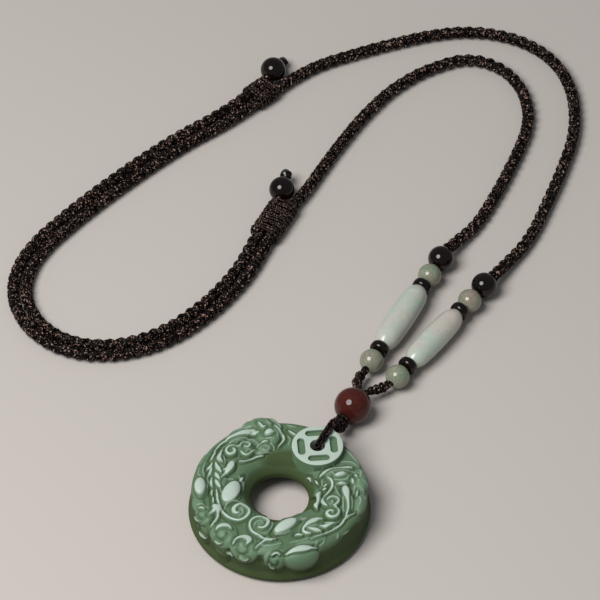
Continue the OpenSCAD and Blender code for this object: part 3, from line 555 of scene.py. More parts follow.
# Carving on the unrolled surface, in millimetres: strokes are [x, y, half width] from end to end
strokes = [
    # upper beast: brow, two spirals and the curl under them, jaw, lip, face edge, snout, eye's tail
    [[-19.6, 13.4, .2], [-17.9, 16.4, .28], [-16.2, 17.8, .3], [-14.6, 18.7, .34], [-13, 19.4, .45],
     [-11.4, 20.1, .65], [-9.6, 20.6, .8], [-7.8, 20.8, .65], [-6.4, 20.5, .2]],
    [[-11.9, 15.3, .15], [-13.6, 15.6, .22], [-15.3, 14.9, .26], [-16.1, 13.4, .28], [-15.2, 12.1, .28],
     [-13.9, 12.4, .34], [-13.4, 13.3, .38], [-13.8, 14, .3]],
    [[-11.9, 15.3, .15], [-11.5, 16.5, .22], [-10.6, 17.2, .26], [-9.5, 17.1, .28], [-8.9, 16.2, .3],
     [-9.1, 15.2, .28], [-9.9, 14.7, .24], [-10.6, 15, .12]],
    [[-11.6, 13.2, .14], [-11.1, 12.4, .22], [-10.1, 11.9, .2], [-9, 12.4, .14], [-7.3, 14, .1]],
    [[-12, 9.9, .14], [-10.8, 9.8, .18], [-9.5, 10.1, .16], [-8.2, 10.5, .2], [-7.1, 11.2, .26],
     [-6.1, 11.6, .26], [-4.8, 11.8, .12]],
    [[-6.8, 15.2, .12], [-5.9, 16.2, .22], [-4.9, 16.8, .22], [-3.6, 16.9, .1]],
    [[-1.4, 23, .12], [-.4, 22.2, .28], [.5, 21, .34], [1.1, 19.7, .34], [1.3, 18.6, .32],
     [1, 17.6, .24], [.2, 16.4, .16], [-.3, 15.6, .1]],
    [[-2.4, 25.4, .14], [-1.2, 25, .3], [-.2, 24.2, .3], [.3, 23.2, .14]],
    [[-6.3, 23.6, .12], [-5.6, 22.8, .34], [-4.9, 22.2, .3], [-4.2, 22.6, .12]],
    [[-3.2, 20.2, .5], [-1.6, 20.2, .12]],
    [[2.8, 22, .12], [3.6, 21.2, .3], [4.6, 20.4, .3]],
    # its spine: pointed leaves on both sides of a rail, and a comma
    [[-17.3, 14.4, .12], [-17.7, 12.6, .3], [-18.2, 11, .55], [-18, 10, .6], [-17.1, 9.2, .1]],
    [[-19.2, 8.8, .12], [-18.8, 7.2, .5], [-18.3, 6.2, .6], [-17.4, 4.8, .1]],
    [[-19.2, 4.6, .14], [-18.7, 3.4, .55], [-17.9, 2.1, .1]],
    [[-19.2, 1.9, .14], [-18.7, .8, .5], [-18.1, -.4, .4], [-17.9, -.9, .1]],
    [[-18.9, -1.6, .1], [-18.7, -3.2, .24], [-18.6, -4.8, .24], [-18.2, -6.6, .3], [-17.8, -8, .35]],
    [[-19.2, 13.2, .1], [-19.9, 11.7, .3], [-20.7, 10.3, .12]],
    [[-20.2, 8.9, .1], [-20.9, 7.4, .45], [-21.7, 6.7, .14]],
    [[-20.4, 6.8, .2], [-20.8, 5.4, .36], [-21.4, 3.8, .1]],
    [[-20.3, 3, .1], [-20.5, 1.8, .3], [-20.4, .5, .26], [-20.2, -.2, .1]],
    [[-20.1, -1.4, .1], [-20.3, -2.5, .24], [-20.2, -3.6, .1]],
    [[-19.9, -4.2, .1], [-19.8, -5.4, .24], [-19.8, -6.6, .12]],
    [[-14.3, 8.9, .6], [-14.5, 7.8, .95], [-15.1, 6.3, .85], [-15.9, 5, .5], [-16.6, 4, .25],
     [-17.4, 3.1, .1]],
    [[-16.8, 6.1, .12], [-15.7, 6, .5]],
    # first ribbon: joint, tails and scroll
    [[-19.6, -8.3, .5], [-18.9, -8.9, .95], [-18.2, -9.6, .8]],
    [[-18.3, -9.6, .5], [-18.3, -11.2, .34], [-18.8, -12.8, .28], [-19.6, -14.1, .26],
     [-21.2, -15.9, .1]],
    [[-19.6, -10, .5], [-20.4, -11.1, .28], [-20.9, -11.7, .12]],
    [[-18, -7.8, .3], [-17.3, -9.4, .4], [-16.4, -10.9, .32], [-15.2, -12.4, .28], [-13.8, -13.3, .27],
     [-12.3, -13.7, .27], [-10.9, -13.3, .29], [-9.7, -12.2, .33], [-9, -10.6, .38], [-9.3, -9, .4],
     [-10.4, -7.8, .42], [-11.7, -7.4, .42], [-13, -8.2, .5], [-13.7, -9.5, .55], [-13.5, -10.7, .5],
     [-12.8, -11.2, .36], [-12, -11, .12]],
    # second ribbon: joint, scroll and tail
    [[-1.2, -20.7, .12], [-2.9, -21, .3], [-4.2, -20.7, .45], [-5.4, -19.7, .26], [-6.8, -19, .24],
     [-8, -18.1, .26], [-8.7, -16.8, .26], [-8.9, -15.2, .26], [-8.4, -13.7, .28], [-7.3, -12.7, .32],
     [-5.8, -12.3, .36], [-4.4, -12.8, .42], [-3.4, -13.8, .46], [-3.5, -15.2, .42], [-4.2, -16.4, .34],
     [-5.3, -16.9, .28], [-6.4, -16.5, .12]],
    [[-2.4, -21.3, .3], [-4, -21.3, .4], [-5.1, -22.3, .24], [-6.1, -23.3, .2], [-6.9, -24.4, .1]],
    # cloud knobs, shell and small triangles
    [[-24, -8.9, .12], [-23.2, -9, .34], [-22.4, -9.5, .12]],
    [[-25.9, -11, .1], [-25.3, -12.1, .22], [-24.4, -12.9, .1]],
    [[-18.7, -17.4, .12], [-18.1, -16.6, .46], [-17, -16.1, .74], [-15.9, -16.1, .7], [-15, -16.5, .42],
     [-14.3, -17.3, .1]],
    [[-19.3, -20.3, .1], [-18.6, -21.2, .22], [-17.6, -21.5, .1]],
    [[-13.8, -22.4, .14], [-12.9, -21.1, .26], [-11.7, -20.5, .5], [-10.4, -20.5, .8],
     [-9.3, -21.1, .9], [-9, -22.1, .62], [-9.6, -23.1, .14]],
    [[-12.2, -26.4, .1], [-11, -27.5, .22], [-9.7, -27.3, .1]],
    [[-2.3, -26.8, .1], [-1.5, -26.1, .22], [-.5, -26, .22], [.1, -26.5, .1]],
    [[-3.2, -29.8, .1], [-2.8, -30.8, .2], [-1.8, -31.4, .1]],
    [[1.9, -26.5, .12], [2.8, -25.8, .35], [3.9, -25.1, .65], [5.2, -24.6, .9], [6.7, -24.3, .92],
     [8.2, -24.1, .7], [9.6, -23.9, .36], [11.4, -24, .1]],
    [[-28.2, -15.2, .15], [-27, -16.4, .6], [-25.9, -17.6, .5], [-25, -18.8, .15]],
    [[-17.6, -25.2, .15], [-16.8, -26, .5], [-16.7, -27.2, .12]],
    [[6.8, 4.4, .14], [7.7, 4.1, .4], [7.8, 3.2, .12]],
    # leaves and border below the lower beast
    [[12.8, -13.2, .12], [11.6, -13.2, .5], [10.3, -13.9, .85], [9, -14.7, .75], [7.9, -15.8, .45],
     [7.1, -17, .3], [7.2, -18, .3], [8.1, -18.5, .36], [9.3, -18.6, .1]],
    [[8.6, -16.9, .12], [9.9, -17.3, .45], [11.2, -17.6, .55], [12.4, -17.7, .12]],
    [[12.1, -15.9, .1], [13.4, -16.2, .42], [14.8, -15.7, .3], [16.1, -15, .12]],
    [[13.6, -15, .1], [15.2, -15, .2], [16.8, -14.8, .1]],
    [[4.7, -18.9, .12], [5.7, -18.7, .4], [6.8, -18.9, .12]],
    [[9.6, -20.7, .1], [11, -20, .15], [12.4, -19.2, .15], [14, -18.1, .14], [15.6, -17.2, .16],
     [17.1, -16.1, .2], [18.2, -15, .24], [18.9, -13.9, .27], [19.4, -12.8, .24], [20.6, -11.7, .13],
     [21.8, -10.9, .13], [22.8, -10.3, .1]],
    # lower beast: brow, cheek line, two spirals, teardrop, side pad, small points
    [[11.7, 3.8, .16], [13, 5, .36], [14.2, 6.1, .32], [15.6, 6.8, .26], [17.2, 7.2, .24],
     [18.9, 7.3, .24], [20.4, 7.5, .28], [21.8, 7.4, .12]],
    [[14.3, 2.9, .12], [15.3, 2, .28], [15.8, .9, .3], [15.7, -.3, .3], [15.1, -1.6, .26],
     [14.1, -3.1, .24], [13.1, -4.4, .28], [12.7, -5.8, .34], [13.2, -7.1, .34], [14.1, -8, .14]],
    [[14.3, -5.8, .2], [15.1, -5, .28], [16.3, -4.7, .28], [17.5, -5.2, .28], [17.7, -6.2, .28],
     [17.2, -7.2, .26], [16.4, -7.9, .24]],
    [[16.2, -7.9, .2], [17.2, -8.6, .28], [17.8, -9.9, .28], [17.5, -11.4, .28], [16.6, -12.3, .32],
     [15.4, -12.5, .38], [14.4, -11.9, .42], [14.1, -11, .4], [14.7, -10.3, .32], [15.5, -10.2, .28],
     [16.2, -10.6, .12]],
    [[19.5, -1, .75], [19.8, -2, 1], [20, -3.6, .85], [20.3, -5.4, .5], [20.5, -7.2, .34],
     [20.5, -9.2, .28], [20.1, -10.8, .22], [19.6, -12.2, .12]],
    [[12, -1.8, .12], [11.5, -3.4, .6], [11.1, -4.9, .9], [10.9, -6.4, .9], [10.8, -7.8, .6],
     [11.2, -8.9, .12]],
    [[12.6, -1.2, .12], [13.2, -1, .34], [13.9, -.8, .12]],
    [[13, -.1, .1], [13.6, .4, .28], [14.2, .8, .1]],
    [[9.8, 2.9, .1], [10.3, 2.2, .36], [10.8, 1.4, .12]],
    [[23.3, -1.8, .12], [23.2, -2.8, .24], [23, -3.8, .1]],
    [[21.8, 2.6, .1], [21.9, 1.7, .3], [21.9, 1, .1]],
    [[22.6, 3.8, .1], [22.9, 3.2, .24], [23.2, 2.8, .1]]]
# Finer strokes that lie between them and stand lower: hair, toes, borders and rings of the clouds
hairs = [
    [[-24.6, 9.6, .14], [-22.6, 13.4, .2], [-20.8, 16.2, .14]],
    [[-26.2, 7, .14], [-25.4, 10.6, .2], [-23.6, 14.2, .14]],
    [[-22, 14, .12], [-20.4, 16.8, .18], [-18.6, 18.9, .12]],
    [[-13.4, 21, .12], [-11, 22.1, .16], [-8.4, 22.5, .12]],
    [[-12.6, 17.7, .1], [-10.8, 17.9, .12], [-9, 18.1, .1]],
    [[-19.6, 17.2, .16], [-16.4, 21, .2], [-12.4, 23.8, .2], [-9.6, 25, .14]],
    [[-17.6, 19.6, .14], [-13.6, 22.2, .2], [-10.4, 23.4, .14]],
    [[-17.2, 15.2, .12], [-15, 17, .16], [-12.4, 18.3, .16], [-10, 18.7, .16], [-7.6, 18.4, .12]],
    [[-7.8, 18.4, .14], [-6.6, 16.9, .16], [-6.9, 15.2, .14]],
    [[-9.9, 13.4, .14], [-9.2, 14.1, .16], [-8.4, 13.6, .14]],
    [[-7.6, 13.6, .14], [-6.2, 12.9, .18], [-5, 12.6, .14], [-3.2, 13, .14]],
    [[-6.2, 14.4, .14], [-4.8, 15.6, .2], [-3, 14.9, .18], [-3.8, 13.4, .16], [-5, 14, .14]],
    [[-2.6, 16.4, .14], [-1.7, 15.6, .16], [-1.8, 14.2, .14]],
    [[-4.2, 17.8, .12], [-2.8, 18, .2], [-1.4, 17.8, .12]],
    [[-1.6, 21.6, .12], [-.8, 20.6, .18], [-.4, 19.2, .12]],
    [[-3.9, 24.6, .14], [-3.3, 23.9, .22], [-2.6, 23.7, .14]],
    [[-7.8, 26.2, .16], [-6.6, 25.4, .22], [-5.2, 25.4, .16]],
    [[2.2, 24.6, .12], [3.4, 24, .3], [4.8, 23.6, .12]],
    [[2.5, 20, .14], [3.2, 18.4, .18], [2.7, 16.6, .14]],
    [[-8.7, 10.9, .12], [-5.8, 12.4, .14], [-2.4, 13, .12]],
    [[-17, 12.4, .14], [-16.4, 10.4, .18], [-16.4, 8.8, .14]],
    [[-21.6, 3.4, .14], [-21.4, 1.4, .18], [-21.6, -1, .14]],
    [[-22.4, 9.6, .14], [-23, 6.8, .2], [-22.6, 4.4, .14]],
    [[-24.4, 8, .16], [-24.8, 5.4, .2], [-23.6, 4.2, .14]],
    [[-11.9, 4.2, .2], [-11.3, 3.6, .4], [-10.7, 2.9, .2]],
    [[-11, 3.7, .2], [-10.4, 3.2, .4], [-9.9, 2.4, .2]],
    [[-10.3, 2.8, .2], [-9.7, 2.2, .4], [-9.3, 1.4, .2]],
    [[-10, 1.5, .2], [-9.6, .9, .35], [-9.5, 0, .2]],
    [[-17.9, .8, .14], [-17.6, -1.6, .16], [-17, -3.8, .14]],
    [[-16.4, 2.6, .14], [-15, 3, .16], [-13.6, 2.8, .14]],
    [[-21, -8.6, .14], [-22.6, -7.4, .18], [-24.6, -7.6, .14]],
    [[-16.6, -8.6, .14], [-15.4, -6.8, .18], [-12.8, -5.8, .16], [-10.2, -6.2, .14]],
    [[-11.9, -8.8, .14], [-11.1, -9.4, .18], [-11.1, -10.8, .16], [-12, -12, .14]],
    [[-7.4, -15.6, .14], [-6.6, -14.2, .16], [-5.2, -14, .16], [-4.8, -15.2, .14]],
    [[-2.2, -13.8, .14], [-2.1, -15.4, .16], [-2.8, -17.2, .14]],
    [[-6, -22.8, .14], [-4.2, -23.4, .18], [-1.8, -23.2, .14], [.6, -22.2, .14]],
    [[3.9, -13.9, .2], [4.5, -13, .3], [5.1, -12.3, .2]],
    [[5, -13, .2], [5.8, -12.4, .35], [6.6, -11.8, .2]],
    [[6, -13.2, .2], [7, -12.6, .35], [8, -12.2, .2]],
    [[-1.2, -18.9, .14], [1, -18.7, .16], [3.2, -17.6, .14]],
    [[3.2, -21.6, .1], [5, -21.2, .18], [7.4, -20.6, .16], [9.4, -20.1, .1]],
    [[11.4, -21.6, .1], [11, -22.8, .2], [10.4, -23.8, .1]],
    [[13.6, -20.4, .1], [13.3, -21.8, .22], [12.6, -23, .1]],
    [[17.6, -18.3, .1], [17.9, -19.3, .26], [17.8, -20.2, .1]],
    [[19.7, -18.6, .1], [20.6, -17.7, .26], [21.6, -16.9, .1]],
    [[7.8, -16.6, .14], [9.4, -16, .16], [11.4, -15.4, .14]],
    [[10, -19.2, .12], [12.2, -18.6, .16], [14.4, -17.2, .12]],
    [[15.4, 5.3, .14], [16.2, 4.6, .18], [16.6, 3.2, .14]],
    [[16.3, 2.2, .14], [18.3, 1.8, .2], [20.2, 2.3, .16], [20.8, 4, .14]],
    [[14, 4.4, .12], [16.6, 5.8, .18], [19.6, 6, .18], [22.4, 5.6, .12]],
    [[24, 6, .14], [24.4, 4.4, .2], [24, 2.8, .14]],
    [[23.4, 2.2, .1], [23.6, 1.6, .24], [23.7, 1, .1]],
    [[12.6, 2.8, .14], [12.3, 1.6, .2], [12.6, .4, .14]],
    [[16.6, 0, .14], [17.2, -2, .18], [18.2, -3.4, .14]],
    [[18.9, -4.4, .14], [19, -7, .18], [18.8, -9.6, .14]],
    [[15.4, -6.2, .14], [16, -6.6, .18], [15.6, -7.4, .14]],
    [[21.5, -4.2, .14], [21.8, -6.4, .18], [21.6, -9, .14]],
    [[22.2, .4, .14], [22.4, -1.6, .18], [22, -3, .14]],
    [[23.8, -4.4, .2], [24.2, -6, .25], [23.8, -7.6, .2]],
    [[25.2, -1.6, .14], [26.2, -3.2, .2], [25.8, -5, .14]],
    [[25, 1.6, .14], [26.4, .4, .2], [26.8, -1, .14]],
    [[18.6, 9.8, .14], [21.6, 9.6, .2], [24.4, 8, .14]],
    [[9, 24.2, .2], [11.4, 24.6, .45], [13.4, 23.8, .2]],
    [[20.6, 14.6, .2], [22.6, 12.2, .8], [24.6, 9.2, .2]],
    [[-29.4, -12.6, .16], [-29.6, -15.6, .22], [-28.2, -18.4, .16]],
    [[-23.4, -22.4, .14], [-21.4, -24.4, .2], [-18.8, -26.6, .16]]]
# Grooves that wind round the cloud knobs: [x, y, first radius, last radius, start, sweep]
swirls = [
    [-22.9, -11.2, 2.2, 1.3, 60, 290], [-16.9, -18.8, 2.7, 1.5, 60, 300],
    [-10.6, -24, 2.8, 1.5, 60, 300], [-1.5, -28.8, 2, 1.1, 80, 290]]
# Polished pads, and the rounded forms that everything rides on: [x, y, half length, half width,
# turn], and the forms' height last, which is below zero for a hollow
pads = [
    [-23.7, -.7, 3.4, 1.6, 90], [-14.4, -2.5, 4.55, 2.5, 64], [1.8, -15.7, 4.15, 1.85, 38],
    [18.3, 4.1, 1.8, .85, 18], [18.7, .8, 1.1, .4, 3], [-3.2, 20.2, 1.4, 1.05, 30],
    [-10.6, 3.3, 1, .5, 50]]
mounds = [
    [-6.2, 24.8, 5.8, 3.6, 12, 2.1], [-3.2, 20.6, 4.8, 4, 90, 1.8], [-12.2, 20.2, 4.6, 2.8, 35, 1.3],
    [-11.6, -10.6, 4.6, 4.1, 0, 1.1], [-5.8, -15.4, 4.3, 4.2, 0, 1.1], [-23.1, -11.2, 3.9, 3.6, 0, 1.4],
    [-17.3, -19.1, 5.5, 4.8, 48, 1.6], [-10.9, -24.6, 5.9, 4.9, 66, 1.7],
    [-1.6, -29.3, 4.6, 3.9, 87, 1.4], [7.3, -28.6, 6.2, 5.4, 12, 1.8], [2, -15.6, 5.4, 2.9, 38, 1.1],
    [-14.4, -2.6, 5.6, 3.6, 64, 1.1], [-24, -.9, 4.8, 2.9, 92, 1.6], [-24.9, -6.6, 3, 2.6, 90, 1.2],
    [-14.6, 13.8, 2.6, 2.6, 0, 1.1], [-10.2, 14.4, 3, 3, 0, 1.1], [-4.6, 14.6, 2.6, 2.4, 0, 1.1],
    [-18.2, 5.4, 9.4, 2.6, 92, .9], [-14.9, 7, 3, 1.9, 62, 1.1], [17.8, 3.4, 4.6, 3.7, 0, 1.2],
    [15.6, -6, 3, 2.9, 0, 1.1], [15.8, -10.8, 2.9, 2.7, 0, 1.1], [20.2, -5.4, 6.4, 1.9, 92, 1.1],
    [10.6, -4.4, 4.6, 1.8, 95, 1.1], [10, -15.6, 4.6, 3.2, 24, 1.1], [14.6, -15.2, 3, 1.6, 8, 1.1],
    [-19, -9, 2.6, 1.9, 90, 1.1], [-4.4, -23.4, 5.6, 3.2, 20, .8], [24.6, 2.4, 4.6, 2.8, 92, 1.5],
    [24.8, -6.6, 4, 2.4, 84, 1.1], [9.2, -21.4, 5.4, 2, 24, .9], [-26.8, -17.4, 3.6, 3, 30, .9],
    [-20.6, -25.4, 4.2, 3.4, 48, .9], [-6, -28.8, 2.2, 1.2, 90, -.6], [-1.3, -8.8, 5, 2.4, 82, -1.9],
    [7.2, -4.4, 4.4, 3, -32, -2.4]]


def smooth(t):
    """A soft step from 0 to 1."""
    t = np.clip(t, 0, 1)
    return t * t * (3 - 2 * t)


def flowing(stroke):
    """The stroke's points joined by one smooth curve, with four steps to a span."""
    p = np.array([stroke[0], *stroke, stroke[-1]], float)
    t = np.arange(4)[:, None] / 4
    spans = [b + 0.5 * t * (c - a + t * (2 * a - 5 * b + 4 * c - d + t * (3 * (b - c) + d - a)))
             for a, b, c, d in zip(p, p[1:], p[2:], p[3:])]
    return np.vstack([*spans, p[-1]])


def winding_in(x, y, first, last, start, sweep):
    """A spiral stroke round (x, y), finest at its two ends."""
    t = np.linspace(0, 1, 28)
    a, r = np.radians(start + sweep * t), first + (last - first) * t
    return np.stack([x + r * np.cos(a), y + r * np.sin(a), 0.04 + 0.16 * np.sin(np.pi * t)], axis=1)


def line_distance(x, y, stroke):
    """How far each point lies outside the stroke's edge, negative inside it."""
    nearest = np.full(x.shape, 9.0)
    for (ax, ay, aw), (bx, by, bw) in zip(stroke, stroke[1:]):
        square = (bx - ax) ** 2 + (by - ay) ** 2
        t = np.clip(((x - ax) * (bx - ax) + (y - ay) * (by - ay)) / square, 0, 1)
        away = np.hypot(x - ax - t * (bx - ax), y - ay - t * (by - ay)) - (aw + t * (bw - aw))
        nearest = np.minimum(nearest, away)
    return nearest


def ellipse_reach(x, y, e):
    """How far out each point lies in a turned ellipse, 1 at its edge."""
    c, s = cos(radians(e[4])), sin(radians(e[4]))
    return np.hypot(((x - e[0]) * c + (y - e[1]) * s) / e[2], ((y - e[1]) * c - (x - e[0]) * s) / e[3])


def carving(x, y):
    """Height of the relief, how far each point is on a raised line or pad, which is painted pale, and how
    much painted shade it gets in a ditch or groove.
    """
    shape = x.shape
    x, y = x.ravel(), y.ravel()
    mound, line, hair, groove, ditch, pale = np.zeros((6, x.size))
    for e in mounds:
        rise = e[5] * np.sqrt(np.maximum(1 - ellipse_reach(x, y, e) ** 2, 0))
        mound = mound + rise if e[5] < 0 else np.maximum(mound, rise)
    for lines, into, share, side in (([flowing(s) for s in strokes], line, 1.0, LINE_EDGE),
                                     ([flowing(s) for s in hairs], hair, 0.46, HAIR_EDGE),
                                     ([winding_in(*s) for s in swirls], groove, 0, GROOVE_EDGE)):
        for stroke in lines:
            low = np.min(stroke, axis=0) - STROKE_REACH
            high = np.max(stroke, axis=0) + STROKE_REACH
            near = np.nonzero((x > low[0]) & (x < high[0]) & (y > low[1]) & (y < high[1]))[0]
            away = line_distance(x[near], y[near], stroke)
            into[near] = np.maximum(into[near], smooth(1 - away / side))
            # the pale paint on the lines: partly the stone's paler colour and partly a painted reflection
            # of the light
            pale[near] = np.maximum(pale[near], share * smooth(0.44 - away / 0.21))
            if into is line:
                beside_line = np.exp(-((away - LINE_DITCH_AT) / DITCH_WIDTH) ** 2)
                ditch[near] = np.maximum(ditch[near], beside_line)
    pad, dome = np.zeros((2, x.size))
    for e in pads:
        reach = ellipse_reach(x, y, e)
        narrow = min(e[2], e[3])
        pad = np.maximum(pad, smooth((1.06 - reach) * narrow / PAD_EDGE))
        pale = np.maximum(pale, smooth(0.5 + (0.96 - reach) * narrow / 0.3))
        dome = np.maximum(dome, 0.3 * min(e[3], 1.6) / 1.6 * np.maximum(1 - reach ** 2, 0))
        ditch = np.maximum(ditch, np.exp(-(((reach - 1.0) * narrow - PAD_DITCH_AT) / DITCH_WIDTH) ** 2))
    raised = np.maximum(line, pad)
    ditch *= 1 - raised
    groove *= 1 - raised
    height = (mound + RIDGE_H * np.maximum(raised, HAIR_H * hair) + dome * pad - DITCH_DEPTH * ditch
              - GROOVE_DEPTH * groove - CARVE_DEPTH)
    # painted shade in the ditches beside the lines and in the grooves
    painted_recess_shade = np.maximum(0.7 * ditch, 0.55 * groove)
    return height.reshape(shape), pale.reshape(shape), painted_recess_shade.reshape(shape)


def by_part(at, hole_side, crown, outside):
    """One value on the side of the hole, one on the crown and one on the outside."""
    return np.where(at < CROWN_IN, hole_side, np.where(at < CROWN_OUT, crown, outside))


def ring_surface(v):
    """The ring's plain section at the unrolled radius v: radius, height and outward direction."""
    t = np.clip((CROWN_IN - v) / INNER_LEN, 0, 1) * pi / 2
    nx, nz = -np.sin(t) / INNER_ROUND, np.cos(t) / (RING_H / 2)
    n = np.hypot(nx, nz)
    u = np.clip((v - CROWN_OUT) / RIM_ROUND, 0, pi / 2)
    outside_z = RING_H - RIM_ROUND * (1 - np.cos(u)) - np.maximum(v - WALL_START, 0)
    return (by_part(v, CROWN_IN - INNER_ROUND * np.sin(t), v, CROWN_OUT + RIM_ROUND * np.sin(u)),
            by_part(v, RING_H / 2 * (1 + np.cos(t)), RING_H, outside_z),
            by_part(v, nx / n, 0, np.sin(u)), by_part(v, nz / n, 1, np.cos(u)))


def unrolled(r, z):
    """The unrolled radius of a point on or near the top of the ring."""
    turned = np.arctan2((CROWN_IN - r) / INNER_ROUND, (z - RING_H / 2) / (RING_H / 2))
    hole_side = CROWN_IN - INNER_LEN * np.clip(turned, 0, None) / (pi / 2)
    rim = CROWN_OUT + RIM_ROUND * np.arctan2(r - CROWN_OUT, np.maximum(z - RING_H + RIM_ROUND, 0))
    wall = WALL_START + RING_H - RIM_ROUND - z
    return by_part(r, hole_side, r, np.where(z > RING_H - RIM_ROUND, rim, wall))


def points_of(piece):
    """The piece's points, as rows of x, y and z."""
    place = np.empty(len(piece.data.vertices) * 3)
    piece.data.vertices.foreach_get("co", place)
    return place.reshape(-1, 3).T


# The ring's skin: a torus of as many rows and columns, whose points are then laid on the surface
COLUMNS, ROWS, TOP_ROWS, HOLE_ROWS = 512, 168, 146, 7
CORE_R, SKIN_R = 0.018, 0.006
bpy.ops.object.select_all(action="DESELECT")
bpy.ops.mesh.primitive_torus_add(major_segments=COLUMNS // 2, minor_segments=ROWS // 2,
                                 major_radius=CORE_R, minor_radius=SKIN_R)
ring = bpy.context.object
ring.name = "carved_ring"
bpy.ops.object.mode_set(mode="EDIT")
bpy.ops.mesh.select_all(action="SELECT")
bpy.ops.mesh.subdivide(number_cuts=1)
bpy.ops.object.mode_set(mode="OBJECT")
v = np.concatenate([np.linspace(WALL_END, 6.6, TOP_ROWS - HOLE_ROWS),
                    np.linspace(6.4, CROWN_IN - INNER_LEN, HOLE_ROWS)])
r, z, nr, nz = ring_surface(v)
angle = np.linspace(0, 2 * pi, COLUMNS, endpoint=False)[:, None]
height = carving(v * np.cos(angle), v * np.sin(angle))[0]
# the relief fades out towards the hole and the foot, and the deep hollows reach nearer to the hole
deep = smooth((-height - 1.1) / 0.8)
height = (height * smooth((v - HOLE_PLAIN + 0.4 * deep) / (HOLE_FADE - 1.2 * deep))
          * smooth((WALL_END - v) / WALL_FADE))
radius = np.maximum(r + nr * height, HOLE_R)
level = z + nz * height
flare = [(cos(t) ** LOWER_FLARE, sin(t) ** LOWER_FLARE) for t in np.linspace(0, pi / 2, 10)[1:]]
lower_hole = [[max(CROWN_IN - INNER_ROUND * c, HOLE_R), RING_H / 2 * (1 - s)] for c, s in flare]
flat_back = [[at, 0] for at in np.linspace(CROWN_IN, RING_R - FOOT_ROUND, 7)[1:]]
foot_edge = [[RING_R - FOOT_ROUND * (1 - sin(t)), FOOT_ROUND * (1 - cos(t))]
             for t in np.linspace(0, pi / 2, 9)[1:-1]]
under = np.array(lower_hole + flat_back + foot_edge)
radius = np.hstack([radius, np.repeat(under[None, :, 0], COLUMNS, 0)])
level = np.hstack([level, np.repeat(under[None, :, 1], COLUMNS, 0)])
points = np.stack([radius * np.cos(angle), radius * np.sin(angle), level], axis=2) * MM
x, y, z = points_of(ring)
column = np.round(np.arctan2(y, x) / (2 * pi) * COLUMNS).astype(int) % COLUMNS
row = np.round(np.arctan2(z, np.hypot(x, y) - CORE_R) / (2 * pi) * ROWS).astype(int) % ROWS
ring.data.vertices.foreach_set("co", points[column, row].reshape(-1))
ring.data.update()

# The coin and what is cut: its cord hole, its four slots, and the groove for the cord on the back
COIN_AT, COIN_R, COIN_TOP, COIN_FOOT, COIN_TURN = (11.4, 14.2), 7.8, 14.6, 7, 5
SLOT_OUT = 4.9
CORD_HOLE_R, COIN_EDGE = 0.0023, 0.0003
SLOT_R, SLOT_HALF, SLOT_DEPTH, SLOT_Z = 0.00115, 0.00215, 0.002, 0.0146
GROOVE_LENGTH, GROOVE_WIDTH, GROOVE_TURN, GROOVE_Z = 0.0274, 0.0032, radians(63), 0.0006


def cut(target, cutter, how):
    """Joins or cuts one closed form with another and removes the second."""
    pick(target)
    boolean = target.modifiers.new("cut", "BOOLEAN")
    boolean.operation = how
    boolean.solver = "MANIFOLD"
    boolean.object = cutter
    bpy.ops.object.modifier_apply(modifier="cut")
    bpy.data.objects.remove(cutter)


coin_middle = (COIN_AT[0] * MM, COIN_AT[1] * MM)
bpy.ops.object.select_all(action="DESELECT")
bpy.ops.mesh.primitive_cylinder_add(vertices=128, radius=COIN_R * MM, depth=(COIN_TOP - COIN_FOOT) * MM,
                                    location=(*coin_middle, (COIN_TOP + COIN_FOOT) / 2 * MM))
coin = bpy.context.object
bpy.ops.object.transform_apply(location=True)
soften = coin.modifiers.new("edge", "BEVEL")
soften.width = COIN_EDGE
soften.segments = 3
soften.limit_method = "ANGLE"
bpy.ops.object.modifier_apply(modifier="edge")
cut(ring, coin, "UNION")
bpy.ops.mesh.primitive_cylinder_add(vertices=64, radius=CORD_HOLE_R, depth=0.03,
                                    location=(*coin_middle, 0.006))
cut(ring, bpy.context.object, "DIFFERENCE")
for k in range(4):
    a = radians(COIN_TURN + 90 * k)
    bpy.ops.mesh.primitive_cylinder_add(
        vertices=48, radius=SLOT_R, depth=SLOT_DEPTH, rotation=(0, 0, a),
        location=((COIN_AT[0] + SLOT_OUT * cos(a)) * MM, (COIN_AT[1] + SLOT_OUT * sin(a)) * MM,
                  SLOT_Z))
    slot = bpy.context.object
    for vertex in slot.data.vertices:
        vertex.co.y += copysign(SLOT_HALF, vertex.co.y) if abs(vertex.co.y) > 1e-6 else 0
    cut(ring, slot, "DIFFERENCE")
bpy.ops.mesh.primitive_cube_add(size=1)
groove = bpy.context.object
groove.scale = (GROOVE_LENGTH, GROOVE_WIDTH, GROOVE_WIDTH)
groove.rotation_euler.z = GROOVE_TURN
groove.location = (coin_middle[0] + GROOVE_LENGTH / 2 * cos(GROOVE_TURN),
                   coin_middle[1] + GROOVE_LENGTH / 2 * sin(GROOVE_TURN), GROOVE_Z)
cut(ring, groove, "DIFFERENCE")
